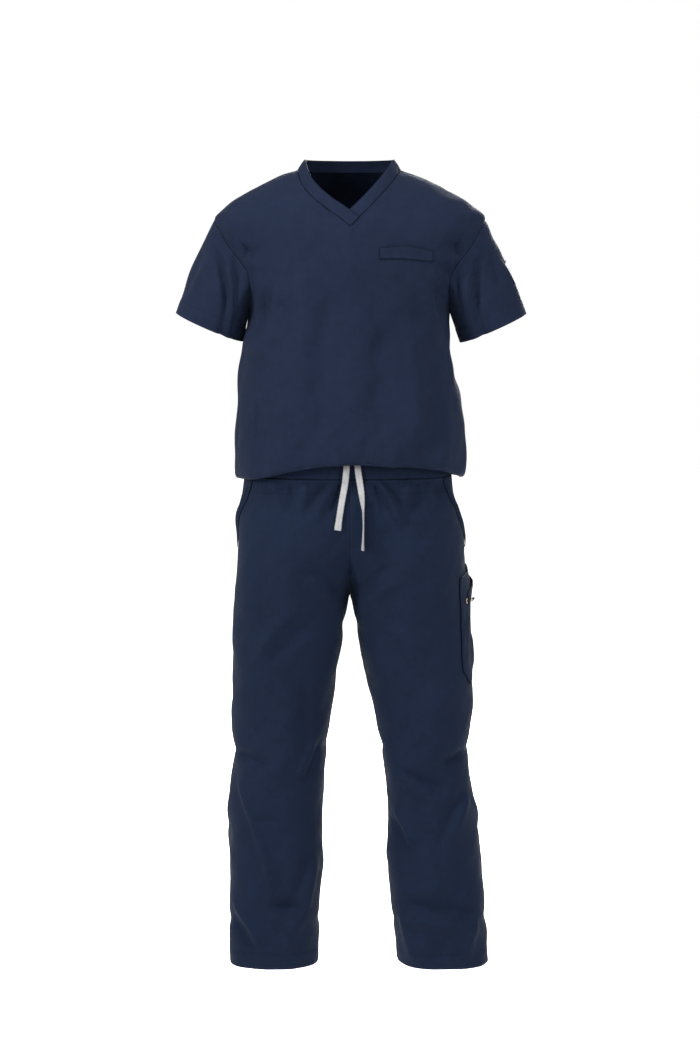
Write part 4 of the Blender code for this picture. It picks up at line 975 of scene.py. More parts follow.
def woven(name, colour, pitch, side_line, end_line, rough, sheen=0.010, relief=0.00022):
    """A woven cloth: ribs, sewn edges with painted shade in their seams and stitched grooves, uneven dye,
    worn edges and a soft sheen.
    """
    made, tree, shader = shader_of(name)
    weave = add_node(tree, "ShaderNodeUVMap", "weave map", uv_map="weave")
    seams = add_node(tree, "ShaderNodeUVMap", "seam map", uv_map="seams")
    place = add_node(tree, "ShaderNodeTexCoord", "place")
    twill = placed_group(tree, GROUPS["twill"], Weave=weave.outputs["UV"], Pitch=pitch)
    lines = {"Side_Line": side_line, "End_Line": end_line}
    sewn = placed_group(tree, GROUPS["seam"], Seams=seams.outputs["UV"], **lines)
    tone = placed_group(tree, GROUPS["tone"], Place=place.outputs["Object"])
    rib_tone = add_range(tree, twill.outputs["Rib"], 0.0, 1.0, 0.80, 1.12)
    factor = add_math(tree, "MULTIPLY", rib_tone, tone.outputs["Tone"])
    # painted shade in the seams and stitched grooves darkens the colour
    factor = add_math(tree, "MULTIPLY", factor, sewn.outputs["Shade"])
    worn = add_math(tree, "MULTIPLY_ADD", sewn.outputs["Wear"], 0.14, 1.0)
    factor = add_math(tree, "MULTIPLY", factor, worn)
    tree.links.new(scaled_colour(tree, colour, factor), shader.inputs["Base Color"])
    uneven = add_range(tree, tone.outputs["Fuzz"], 0.3, 0.7, rough - 0.07, rough + 0.07)
    tree.links.new(uneven, shader.inputs["Roughness"])
    set_inputs(shader, Sheen_Weight=sheen, Sheen_Roughness=0.45, Sheen_Tint=NAP_TINT, Specular_IOR_Level=0.02)
    height = add_math(tree, "MULTIPLY", twill.outputs["Rib"], relief)
    height = add_math(tree, "MULTIPLY_ADD", sewn.outputs["Height"], 0.0008, height)
    height = add_math(tree, "MULTIPLY_ADD", tone.outputs["Fuzz"], 0.00025, height)
    bump = add_node(tree, "ShaderNodeBump", "relief")
    set_inputs(bump, Strength=0.6, Distance=1.0)
    tree.links.new(height, bump.inputs["Height"])
    tree.links.new(bump.outputs["Normal"], shader.inputs["Normal"])
    return made


def plain_finish(name, colour, rough, metallic=0.0, depth=0.10, specular=0.4):
    """A thread, moulded or metal finish with fine uneven tone and roughness."""
    made, tree, shader = shader_of(name)
    place = add_node(tree, "ShaderNodeTexCoord", "place")
    noise = add_noise(tree, "grain", place.outputs["Object"], 900, 3)
    factor = add_range(tree, noise, 0.3, 0.7, 1 - depth, 1 + depth)
    tree.links.new(scaled_colour(tree, colour, factor), shader.inputs["Base Color"])
    uneven = add_range(tree, noise, 0.3, 0.7, rough - 0.08, rough + 0.08)
    tree.links.new(uneven, shader.inputs["Roughness"])
    set_inputs(shader, Metallic=metallic, Specular_IOR_Level=specular)
    return made


GROUPS = {"twill": twill_group(), "seam": seam_group(), "tone": tone_group()}
NEVER = 5.0               # a stitched line that a cloth doesn't have
FINISHES = {
    # woven: datablock name, colour, pitch of the weave, stitched lines beside and at the ends, rough
    "body_twill": woven("body_twill", NAVY_TOP, TWILL_PITCH, NEVER, 0.0022, 0.74),
    "sleeve_twill": woven("sleeve_twill", NAVY_TOP, TWILL_PITCH, NEVER, 0.026, 0.74),
    "band_twill": woven("band_twill", NAVY_TOP, TWILL_PITCH, NEVER, 0.0020, 0.74),
    "leg_twill": woven("leg_twill", NAVY_TROUSER, TWILL_PITCH, 0.0065, 0.027, 0.75),
    "trim_twill": woven("trim_twill", NAVY_TROUSER, TWILL_PITCH, 0.0018, 0.0018, 0.75),
    "welt_twill": woven("welt_twill", NAVY_TOP, TWILL_PITCH, 0.0018, 0.0018, 0.74),
    "tape": woven("drawstring_weave", TAPE_WHITE, 0.0014, 0.0016, NEVER, 0.85, 0.05, 0.0003),
    "label": woven("bare_label", LABEL_WHITE, 0.0007, 0.0012, 0.0012, 0.6, 0.05, 0.0001),
    # plain: datablock name, colour, rough
    "thread": plain_finish("navy_thread", NAVY_THREAD, 0.7, specular=0.03),
    "brass": plain_finish("aged_brass", BRASS, 0.42, metallic=1.0, depth=0.2),
    "elastic": plain_finish("black_elastic", BLACK_ELASTIC, 0.7, specular=0.05),
    "cord_end": plain_finish("black_cord_end", BLACK_PLASTIC, 0.5, specular=0.12),
}


# ---------------------------------------------------------------- the top

# Where the stitches run, as lengths from an edge.
EDGE_LINE = 0.0018
BAND_LINE = 0.0020
SEAM_LINE = 0.0022
SLEEVE_HEM_LINE = 0.026
NECK_JOIN_LINE = 0.019
LEG_HEM_LINE = 0.027
CENTRE_LINES = (0.0016, 0.0065)
CASING_LINES = (0.006, 0.034)
POCKET_LINES = (EDGE_LINE, 0.0070)
LIP_LINES = (EDGE_LINE, 0.014)
ALL_EDGES = ("top", "bottom", "start", "end")
# Every seam draws its cloth down a little.
SEAM_SINK = {"depth": 0.0009, "half": 0.005}
# Gathers under and on the waistband: pitch of the waves, and how unevenly they come.
LEG_GATHERS = {"height": 0.0011, "pitch": 0.0115, "uneven": 1.3, "beat": 61}
BAND_GATHERS = {"height": 0.0009, "pitch": 0.0098, "uneven": 1.1, "beat": 47}
SEAM_OVERLAP = 0.0006     # how far each side's centre seam turns in past the middle
# Counts of rows and columns of the small panels.
NECKBAND_GRID = (12, 44, 26)
WELT_GRID = (9, 41)
LABEL_GRID = (16, 14)
WAISTBAND_GRID = (14, 61)
HAND_POCKET_GRID = (40, 7)
CARGO_POCKET_GRID = (52, 44)
CARGO_LIP_GRID = (9, 44)
SHOULDER_SHARE = {FRONT: 0.4, BACK: 0.5}
HALF_COLUMNS = {FRONT: 70, BACK: 54}
YOKE_ROWS = 46
SIDE_ROWS = 56
ROLL_STEPS = np.concatenate([
    np.linspace(0, 2.7, 24),
    np.linspace(2.9, ROLL_OVER_BAND, 10),
    np.linspace(4.75, ROLL_TUCK, 8),
    [6.4, ROLL_END],
])


def top_half(side, face):
    """One half of the front or back of the top, from the shoulder and neckline down."""
    shares = np.linspace(0, 1, HALF_COLUMNS[face] + 1)
    turns = shares * math.pi / 2
    rises = np.linspace(1, 0, YOKE_ROWS + 1)
    yoke = [yoke_point(side, face, shares, rise + 0 * shares, SHOULDER_SHARE[face]) for rise in rises]
    start = fold_drop(side, face, turns) - (FOLD_SIDE_DROP - BLOUSE_DROP)
    levels = np.linspace(0, 1, SIDE_ROWS + 1)[1:-1]
    sides = [body_point(side, face, turns, UNDERARM_DROP + (start - UNDERARM_DROP) * k) for k in levels]
    rolled = [roll_point(side, face, turns, step + 0 * turns) for step in ROLL_STEPS]
    return np.array(yoke + sides + rolled)


CHEST_WELT = {"inner": 0.052, "outer": 0.148, "top": 0.1440, "height": 0.0190, "slant": 0.0075}
CHEST_WELT.update({"bow": 0.0035, "gape": 0.0030, "bag_inner": 0.058, "bag_outer": 0.155, "bag_low": 0.259})


def bag_height(across, drop):
    """The hidden pocket bag, which shows through the chest as a slight step."""
    welt = CHEST_WELT
    inside = np.minimum(across - welt["bag_inner"], welt["bag_outer"] - across)
    inside = np.minimum(inside, welt["bag_low"] - drop)
    return 0.0009 * ease(-0.003, 0.003, inside) * ease(welt["top"], welt["top"] + 0.02, drop)


def seam_sink(beside):
    return SEAM_SINK["depth"] * np.exp(-(beside / SEAM_SINK["half"]) ** 2)


def gathered(gathers, along):
    """The waves that elastic draws the cloth into, with an uneven pitch."""
    uneven = gathers["uneven"] * np.sin(along * gathers["beat"])
    return np.sin(along * 2 * math.pi / gathers["pitch"] + uneven)


def top_panel(face):
    halves = {side: top_half(side, face) for side in (RIGHT, LEFT)}
    points = np.concatenate([halves[RIGHT], halves[LEFT][:, -2::-1]], axis=1)
    panel = Panel(points, points * (0, 0, 1))
    across, behind, drop = points[..., 0], points[..., 1], -points[..., 2]
    facing = ease(0.30, 0.80, face * panel.normals[..., 1])
    creases = TOP_FRONT_CREASES if face == FRONT else TOP_BACK_CREASES
    height = crease_height(creases, across, drop) * facing
    for side in (RIGHT, LEFT):
        sideways = ease(0.25, 0.75, side * panel.normals[..., 0])
        height += 0.5 * crease_height(TOP_SIDE_CREASES[side], behind, drop) * sideways
    if face == FRONT:
        height += bag_height(across, drop) * facing
    height += rumple_height(points)
    row = np.arange(len(points))[:, None]
    beside = np.minimum(panel.from_edge("start"), panel.from_edge("end"))
    armhole = ease(YOKE_ROWS + 1, YOKE_ROWS - 8, row)
    height *= ease(0.001, 0.012, panel.from_edge("top"))
    height *= 1 - armhole * (1 - ease(0.0, 0.008, beside))
    under_roll = ease(0, 1, (row - YOKE_ROWS - SIDE_ROWS - 20) / 6)
    height *= 1 - under_roll
    height -= seam_sink(beside) * (1 - armhole) * (1 - under_roll)
    panel.moved(height)
    return panel


SLEEVE_COLUMNS = ("across", "drop", "half_width", "half_fall", "half_depth", "front_sag")
SLEEVE_HEM = {
    RIGHT: (0.2590, 0.284, 0.0615, 0.0265, 0.073, 0.004),
    LEFT: (0.2635, 0.2855, 0.0605, 0.0265, 0.073, 0.004),
}
SLEEVE_FULLNESS = 0.004
SLEEVE_ROWS = 48
SLEEVE_HALF_ROUND = 0.215


def sleeve_panel(side, front, back):
    """A sleeve from the armhole's own points to its hem, from underarm to underarm."""
    edge = 0 if side == RIGHT else -1
    rise = front.points[:YOKE_ROWS + 1, edge][::-1]
    fall = back.points[:YOKE_ROWS + 1, edge]
    loop = np.concatenate([rise, fall[1:]])
    far = gone_on(loop)
    tip = YOKE_ROWS
    before = 1 - far / far[tip]
    after = (far - far[tip]) / (far[-1] - far[tip])
    angle = math.pi * np.where(np.arange(len(loop)) <= tip, before, -after)
    hem = dict(zip(SLEEVE_COLUMNS, SLEEVE_HEM[side]))
    out, ahead = np.cos(angle), np.sin(angle)
    end = np.stack([
        side * (hem["across"] + hem["half_width"] * out),
        -hem["half_depth"] * ahead,
        -hem["drop"] + hem["half_fall"] * out - hem["front_sag"] * np.maximum(ahead, 0),
    ], -1)
    bulge = np.stack([side * np.maximum(out, 0), -ahead, 0 * out], -1) * SLEEVE_FULLNESS
    steps = np.linspace(0, 1, SLEEVE_ROWS + 1)
    points = np.array([loop * (1 - k) + end * k + bulge * math.sin(math.pi * k) for k in steps])
    points[0] += unit(points[1] - points[0]) * 0.0002
    panel = Panel(points, points.mean(axis=1, keepdims=True))
    around = angle[None, :] / math.pi * SLEEVE_HALF_ROUND + 0 * panel.down
    height = crease_height(SLEEVE_CREASES[side], around, panel.down) + rumple_height(points)
    beside = np.minimum(panel.from_edge("start"), panel.from_edge("end"))
    height *= ease(0.0, 0.008, panel.down) * ease(0.0, 0.010, beside)
    height *= 1 - 0.70 * ease(0.070, 0.012, panel.from_edge("bottom"))
    height += 0.0008 * ease(0.027, 0.024, panel.from_edge("bottom"))
    panel.moved(height)
    return panel


def neck_seam(side, share):
    """The neckband's point: share 0 at the V, 1 at the neck point, 2 at the centre back."""
    if share <= 1:
        turn, drop = upper_edge(side, FRONT, np.array([max(1 - share, 1e-8)]), 1e-9)
        return body_point(side, FRONT, turn, drop)[0]
    turn, drop = upper_edge(side, BACK, np.array([max(share - 1, 1e-8)]), 1e-9)
    return body_point(side, BACK, turn, drop)[0]


def neckband_panel():
    """Rows from the seam to the free edge; the right end laps over the left at the V."""
    across_rows, front_columns, back_columns = NECKBAND_GRID
    shares = np.concatenate([np.linspace(0, 1, front_columns), np.linspace(1, 2, back_columns)[1:]])
    order = [(RIGHT, share) for share in shares] + [(LEFT, share) for share in shares[-2::-1]]
    seam, lean, shift = [], [], []
    for side, share in order:
        leans = (float(smooth(LEAN_ROWS, LEAN_COLUMNS, name, share)) for name in LEAN_COLUMNS[1:])
        inward, backward, up = leans
        seam.append(neck_seam(side, share))
        lean.append(unit(np.array([-side * inward, backward, up])))
        near_tip = max(0.0, 1 - share / LAP_SHARE)
        shift.append(LAP_UNDER * near_tip if side == LEFT else -LAP_OVER * near_tip)
    seam, lean, shift = np.array(seam), np.array(lean), np.array(shift)
    points = np.array([seam + lean * BAND_WIDTH * across for across in np.linspace(0.015, 1, across_rows)])
    points[..., 1] += shift
    panel = Panel(points, points * (0, 0, 1))
    puffed = 0.0008 * np.sin(math.pi * panel.down / BAND_WIDTH).clip(0, 1)
    panel.moved(puffed + 0.35 * rumple_height(points))
    return panel


# ---------------------------------------------------------------- laying pieces on the cloth

def skin(*panels):
    """What other pieces are laid on: the right side of some panels."""
    verts, faces = [], []
    for panel in panels:
        rows, cols = panel.points.shape[:2]
        base = len(verts)
        verts.extend(map(tuple, panel.points.reshape(-1, 3).tolist()))
        for row in range(rows - 1):
            for col in range(cols - 1):
                a = base + row * cols + col
                faces.append((a, a + cols, a + cols + 1, a + 1))
    return BVHTree.FromPolygons(verts, faces)


def settled(tree, place, normal, lift):
    """A place moved along its normal onto the cloth below it, and lifted off it."""
    hit = tree.ray_cast(Vector(place + normal * 0.03), Vector(-normal), 0.08)[0]
    spot = place if hit is None else np.array(hit)
    return spot + normal * lift


def front_spot(tree, across, drop, lift):
    """A place on the cloth straight behind this one as seen from the front, with its normal."""
    hit, normal, _, _ = tree.ray_cast(Vector((across, -1.0, -drop)), Vector((0.0, 1.0, 0.0)))
    normal = np.array(normal) * (-1 if normal.y > 0 else 1)
    return np.array(hit) + normal * lift, normal


def front_path(tree, stops, lift, count):
    """A smooth line over the front through a few stops of across and drop."""
    stops = smooth_route(stops, count)
    pairs = [front_spot(tree, across, drop, lift) for across, drop in stops]
    return np.array([p for p, n in pairs]), np.array([n for p, n in pairs])


def smooth_route(points, count):
    """A smooth curve through a route's own points, at even steps along it."""
    points = np.asarray(points, dtype=float)
    gone = gone_on(points[:, :3])
    rows = tuple(map(tuple, np.column_stack([gone, points])))
    names = tuple("abcdefgh"[:points.shape[1] + 1])
    at = np.linspace(0, gone[-1], count)
    return np.stack([smooth(rows, names, name, at) for name in names[1:]], -1)


def welt_panel(tree):
    welt = CHEST_WELT
    points = []
    for up in np.linspace(1, 0, WELT_GRID[0]):
        row = []
        for share in np.linspace(0, 1, WELT_GRID[1]):
            across = welt["inner"] + (welt["outer"] - welt["inner"]) * share
            bow = math.sin(math.pi * share)
            slanted = welt["top"] + welt["slant"] * max(0, share - 0.45)
            drop = slanted + welt["height"] * (1 - up) - welt["bow"] * bow * up
            lift = LAID_ON + CLOTH + welt["gape"] * bow * up ** 2
            row.append(front_spot(tree, across, drop, lift)[0])
        points.append(row)
    points = np.array(points)
    return Panel(points, points + (0, 0.1, 0))


LABEL = {"height": 0.044, "behind": 0.006, "ahead": 0.034, "middle": 0.106, "lift": 0.0018}


def label_panel(sleeve):
    """The bare label, wrapped over the outer side of the left sleeve."""
    tip = YOKE_ROWS
    down = sleeve.down[:, tip]
    points = []
    for drop in np.linspace(-0.5, 0.5, LABEL_GRID[0]):
        gone = LABEL["middle"] + drop * LABEL["height"]
        place = float(np.interp(gone, down, np.arange(len(down))))
        low = int(place)
        row = sleeve.points[low] * (1 - place + low) + sleeve.points[low + 1] * (place - low)
        facing = sleeve.normals[low]
        round_sleeve = sleeve.along[low] - sleeve.along[low, tip]
        across = np.linspace(-LABEL["ahead"], LABEL["behind"], LABEL_GRID[1])
        out = unit(at_lengths(across, round_sleeve, facing))
        points.append(at_lengths(across, round_sleeve, row) + out * LABEL["lift"])
    points = np.array(points)
    return Panel(points, points - (0.1, 0, 0))


# ---------------------------------------------------------------- the trousers

LEG_COLUMNS = {FRONT: 76, BACK: 60}
LEG_ROWS = 236


def leg_panel(side, face):
    shares = np.linspace(0, 1, LEG_COLUMNS[face] + 1)
    drops = WAIST_SEAM_DROP + (TROUSER_HEM_DROP - WAIST_SEAM_DROP) * np.linspace(0, 1, LEG_ROWS + 1) ** 1.06
    points = np.array([trouser_point(side, face, shares, drop + 0 * shares) for drop in drops])
    middle = np.array([leg_middle(side, drop) for drop in drops])
    inside = np.stack([middle, 0 * middle, -drops], -1)[:, None, :]
    panel = Panel(points, inside)
    across, behind, drop = points[..., 0], points[..., 1], -points[..., 2]
    facing = ease(0.30, 0.80, face * panel.normals[..., 1])
    height = crease_height(LEG_FRONT_CREASES if face == FRONT else LEG_BACK_CREASES, across, drop) * facing
    height += crease_height(OUTSEAM_CREASES, behind, drop) * ease(0.25, 0.75, side * panel.normals[..., 0])
    below_fork = ease(CROTCH_DROP, CROTCH_DROP + 0.05, drop)
    inward = ease(0.25, 0.75, -side * panel.normals[..., 0]) * below_fork
    height += crease_height(INSEAM_CREASES, behind, drop) * inward
    gathers = LEG_GATHERS["height"] * gathered(LEG_GATHERS, panel.along[:1])
    height += gathers * np.exp(-(drop - WAIST_SEAM_DROP) / 0.016) * ease(0, 0.02, panel.along)
    height += rumple_height(points)
    height *= 1 - 0.75 * ease(WAIST_SEAM_DROP + 0.010, WAIST_SEAM_DROP, drop)
    outer, inner = panel.from_edge("start"), panel.from_edge("end")
    centre_seam = ease(CROTCH_DROP + 0.04, CROTCH_DROP - 0.02, drop)
    height *= 1 - centre_seam * (1 - ease(0.0, 0.012, inner))
    height -= seam_sink(np.minimum(outer, inner))
    height += 0.0006 * ease(0.0290, 0.0265, panel.from_edge("bottom"))
    panel.moved(height)
    own_side = drop < CROTCH_DROP
    panel.points[own_side, 0] = side * np.maximum(side * panel.points[own_side, 0], 0)
    joined = drop[:, -1] < CROTCH_DROP
    panel.points[joined, -1, 0] = -side * SEAM_OVERLAP
    return panel


def waistband_panel():
    """Once round from the centre back, gathered on its elastic."""
    rows = []
    for drop in np.linspace(WAIST_TOP_DROP, WAIST_SEAM_DROP - 0.0003, WAISTBAND_GRID[0]):
        row = []
        for side, face in ((LEFT, BACK), (LEFT, FRONT), (RIGHT, FRONT), (RIGHT, BACK)):
            shares = np.linspace(0, 1, WAISTBAND_GRID[1])
            spots = trouser_point(side, face, shares, drop + 0 * shares)
            from_centre = (side == LEFT) == (face == BACK)
            spots = spots[::-1] if from_centre else spots
            row.extend(spots if face == BACK and side == RIGHT else spots[:-1])
        rows.append(row)
    points = np.array(rows)
    panel = Panel(points, points * (0, 0, 1))
    drop = -points[..., 2]
    waves = BAND_GATHERS["height"] * gathered(BAND_GATHERS, panel.along[:1])
    height = waves * ease(0.0, 0.01, np.minimum(panel.along, panel.from_edge("end")))
    height *= 0.45 + 0.55 * ease(WAIST_TOP_DROP + 0.008, WAIST_TOP_DROP + 0.022, drop)
    panel.moved(height - 0.0006)
    return panel


def leg_at(side, drop, ahead):
    """A place on a leg and its normal, so far forwards (+) or back (-) of the outseam round the leg."""
    face = FRONT if ahead >= 0 else BACK
    shares = np.linspace(0, 0.6, 61)
    walk = trouser_point(side, face, shares, drop + 0 * shares)
    share = float(np.interp(abs(ahead), gone_on(walk), shares))
    step = 1e-3
    beside = (np.array([share, share + step, share]), np.array([drop, drop, drop + step]))
    spots = trouser_point(side, face, *beside)
    normal = np.cross(spots[2] - spots[0], spots[1] - spots[0]) * side * face
    return spots[0], unit(normal)


def laid_on_leg(tree, side, rows, inside=0.1):
    """A panel on the leg from rows of (drop, ahead, lift)."""
    points = []
    for row in rows:
        placed = []
        for drop, ahead, lift in row:
            place, normal = leg_at(side, drop, ahead)
            placed.append(settled(tree, place, normal, lift))
        points.append(placed)
    points = np.array(points)
    return Panel(points, points - (side * inside, 0, 0))


HAND_POCKET = {"top": 0.060, "top_drop": 0.5590, "end": 0.006, "end_drop": 0.690}
HAND_POCKET.update({"width": 0.011, "gape": 0.0045, "lift": 0.0012})


def hand_pocket_panel(tree, side):
    """The turned and stitched mouth of a slanted hip pocket."""
    pocket = HAND_POCKET
    rows = []
    for share in np.linspace(0, 1, HAND_POCKET_GRID[0]):
        row = []
        for aside in np.linspace(0, 1, HAND_POCKET_GRID[1]):
            ahead = pocket["top"] + (pocket["end"] - pocket["top"]) * share ** 1.4 + pocket["width"] * aside
            drop = pocket["top_drop"] + (pocket["end_drop"] - pocket["top_drop"]) * share
            gape = pocket["gape"] * math.sin(math.pi * share) * (1 - aside) ** 2
            row.append((drop, ahead, LAID_ON + pocket["lift"] + gape))
        rows.append(row)
    return laid_on_leg(tree, side, rows)


CARGO_AHEAD, CARGO_BEHIND = 0.080, 0.082
CARGO_COLUMNS = ("ahead", "top", "bottom")
CARGO_ROWS = (
    (CARGO_AHEAD, 0.742, 0.914),
    (0.054, 0.739, 0.942),
    (0.000, 0.732, 0.921),
    (-0.050, 0.726, 0.900),
    (-CARGO_BEHIND, 0.722, 0.886),
)
POCKET_LIFT = LAID_ON + CLOTH + 0.0004
CARGO_PUFF = 0.0042
# On the cargo pocket: how far ahead of the outseam, and drop.
CARGO_CREASES = (
    (28, 812, 66, 866, 3, -3.6, 6, 0.3),
    (44, 814, 76, 862, 3, 3, 6, 0),
    (24, 850, 18, 918, 2, 2.8, 8, 0),
    (46, 870, 42, 930, 2, -2.2, 7, 0),
    (-10, 800, -6, 900, 4, -3, 10, 0),
    (-44, 790, -34, 890, 4, 3.4, 12, 0),
    (-66, 780, -62, 870, 2, -2.4, 8, 0),
)


def cargo_pocket_panel(tree):
    behind, tops, bottoms = (column(CARGO_ROWS, CARGO_COLUMNS, name) for name in CARGO_COLUMNS)
    rows = []
    for down in np.linspace(0, 1, CARGO_POCKET_GRID[0]):
        row = []
        for ahead in np.linspace(CARGO_AHEAD, -CARGO_BEHIND, CARGO_POCKET_GRID[1]):
            top, bottom = np.interp(-ahead, -behind, tops), np.interp(-ahead, -behind, bottoms)
            drop = top + (bottom - top) * down
            across = (CARGO_AHEAD - ahead) / (CARGO_AHEAD + CARGO_BEHIND)
            puff = math.sin(math.pi * across) ** 0.7 * math.sin(math.pi * min(1, 0.12 + down)) ** 0.8
            puff = CARGO_PUFF * puff
            crease = float(crease_height(CARGO_CREASES, np.array(ahead), np.array(drop)))
            fade = math.sin(math.pi * across) ** 0.5
            row.append((drop, ahead, POCKET_LIFT + max(0, puff + crease * fade)))
        rows.append(row)
    return laid_on_leg(tree, LEFT, rows)


CARGO_LIP = {"low_ahead": 0.048, "low_drop": 0.773, "high_ahead": -0.076, "high_drop": 0.741}
CARGO_LIP.update({"width": 0.020, "gape": 0.0045})


def cargo_lip_panel(tree):
    lip = CARGO_LIP
    rows = []
    for aside in np.linspace(0, 1, CARGO_LIP_GRID[0]):
        row = []
        for share in np.linspace(0, 1, CARGO_LIP_GRID[1]):
            ahead = lip["low_ahead"] + (lip["high_ahead"] - lip["low_ahead"]) * share
            drop = lip["low_drop"] + (lip["high_drop"] - lip["low_drop"]) * share + lip["width"] * aside
            gape = lip["gape"] * math.sin(math.pi * share) * (1 - aside) ** 1.5
            row.append((drop, ahead, LAID_ON + CLOTH + gape))
        rows.append(row)
    return laid_on_leg(tree, LEFT, rows)


# ---------------------------------------------------------------- eyelet, badge loop, drawstring

EYELET = {"ahead": 0.055, "drop": 0.786, "outer": 0.0050, "hole": 0.0027, "thick": 0.0012}
BADGE_LOOP = {"length": 0.028, "strand": 0.0009, "apart": 0.0012, "end": 0.0026}
# The loop's way out of the eyelet: along the leg, off the pocket, and its strands' spread.
BADGE_ROUTE = (
    (0.0000, 0.0010, 1.00),
    (0.0006, 0.0030, 1.00),
    (0.0040, 0.0050, 1.05),
    (0.0110, 0.0062, 1.50),
    (0.0190, 0.0062, 1.50),
    (0.0262, 0.0056, 1.05),
)
TAPE_WIDTH = 0.012
TAPE_THICK = 0.0014
TAPE_SELVEDGE = 0.0004
TAPE_RINGS = 120
TAB_LENGTH = 0.0115
TAB_STITCH_ROWS = (0.0018, 0.0054, 0.0090)
TAB_STITCH_HALF = 0.0006
# Drawstring routes from the waistband down: across, forwards of the cloth, drop, twist.
TAPES = {
    "drawstring_right": (
        (-0.0062, 0.0012, 0.5300, 0),
        (-0.0065, 0.0042, 0.5380, 0),
        (-0.0085, 0.0048, 0.5600, 2),
        (-0.0140, 0.0040, 0.5920, 6),
        (-0.0185, 0.0034, 0.6200, 8),
        (-0.0222, 0.0034, 0.6470, 8),
    ),
    "drawstring_left": (
        (0.0135, 0.0012, 0.5300, 0),
        (0.0142, 0.0044, 0.5390, 0),
        (0.0165, 0.0050, 0.5550, 0),
        (0.0195, 0.0052, 0.5740, 12),
        (0.0222, 0.0066, 0.5950, 45),
        (0.0238, 0.0076, 0.6150, 74),
        (0.0242, 0.0076, 0.6400, 80),
        (0.0236, 0.0074, 0.6620, 76),
        (0.0230, 0.0072, 0.6830, 72),
    ),
}
# The tape's section: across and out, as shares of its half width and half thickness.
TAPE_SECTION = (
    (-1.00, 0.0), (-0.96, -0.8), (-0.80, -1.0), (0.0, -1.0), (0.80, -1.0), (0.96, -0.8),
    (1.00, 0.0), (0.96, 0.8), (0.80, 1.0), (0.0, 1.0), (-0.80, 1.0), (-0.96, 0.8),
)


def tape_route(name, count):
    """The tape's middle line, its sideways direction and its facing, twisted as it hangs."""
    rows = []
    for across, ahead, drop, twist in TAPES[name]:
        depth = leg_girth("front", np.array(drop))
        rows.append((across, -float(depth) - ahead, -drop, twist))
    route = smooth_route(rows, count)
    twist = np.radians(route[:, 3])
    run = unit(np.gradient(route[:, :3], axis=0))
    level = np.stack([np.cos(twist), -np.sin(twist), 0 * twist], -1)
    level = unit(level - run * np.sum(level * run, axis=1, keepdims=True))
    return route[:, :3], level, unit(np.cross(run, level))


def make_tape(name):
    """A flat drawstring end whose last stretch is folded back and stitched."""
    count = TAPE_RINGS
    middle, level, facing = tape_route(name, count)
    gone = gone_on(middle)
    left = gone[-1] - gone
    tab = ease(TAB_LENGTH + 0.0006, TAB_LENGTH - 0.0006, left)
    half = TAPE_WIDTH / 2 + 0.0006 * tab + 0.00025 * np.sin(gone * 900)
    thick = TAPE_THICK / 2 * (0.85 + 0.85 * tab)
    for row in TAB_STITCH_ROWS:
        thick *= 1 - 0.25 * np.exp(-((left - row) / TAB_STITCH_HALF) ** 2)
    rings = []
    for across, out in TAPE_SECTION:
        flat = level * (half * across)[:, None] + facing * (thick * out)[:, None]
        rings.append(middle + flat)
    rings = np.stack(rings, 1)
    sides = len(TAPE_SECTION)
    faces = [tuple(range(sides))[::-1], tuple(range(sides * (count - 1), sides * count))]
    for i in range(count - 1):
        for j in range(sides):
            a, b = sides * i + j, sides * i + (j + 1) % sides
            faces.append((a, b, b + sides, a + sides))
    obj = plain_object(name + "_tape", rings.reshape(-1, 3), faces)
    across = np.array([a for a, _ in TAPE_SECTION]) * TAPE_WIDTH / 2
    weave = np.stack([across + 0 * gone[:, None], gone[:, None] + 0 * across], -1).reshape(-1, 2)
    named_uv(obj.data, "weave", weave)
    # the seam map darkens the tape towards its rims: painted shade along its edges
    beside = TAPE_WIDTH / 2 - np.abs(across) + TAPE_SELVEDGE + 0 * gone[:, None]
    named_uv(obj.data, "seams", np.stack([beside, NO_SEAM + 0 * beside], -1).reshape(-1, 2))
    dressed(obj, FINISHES["tape"], (name,))
    return obj


def along_leg_frame(tree, drop, ahead, lift):
    """A place over the left leg with its outward, backward and upward directions."""
    base, normal = leg_at(LEFT, drop, ahead)
    place = settled(tree, base, normal, lift)
    behind = unit(leg_at(LEFT, drop, ahead - 0.002)[0] - base)
    return place, normal, behind, unit(np.cross(normal, behind))


def seated(obj, place, behind, up, normal, squash=1.0):
    """Puts a piece made flat at the origin onto the cloth, with its own z along the normal."""
    matrix = np.identity(4)
    matrix[:3, 0], matrix[:3, 1], matrix[:3, 2], matrix[:3, 3] = behind, up, normal * squash, place
    co = np.zeros(len(obj.data.vertices) * 3, np.float32)
    obj.data.vertices.foreach_get("co", co)
    co = co.reshape(-1, 3) @ matrix[:3, :3].T + place
    obj.data.vertices.foreach_set("co", co.astype(np.float32).ravel())
    obj.data.update()
    obj.data.shade_smooth()
    return obj


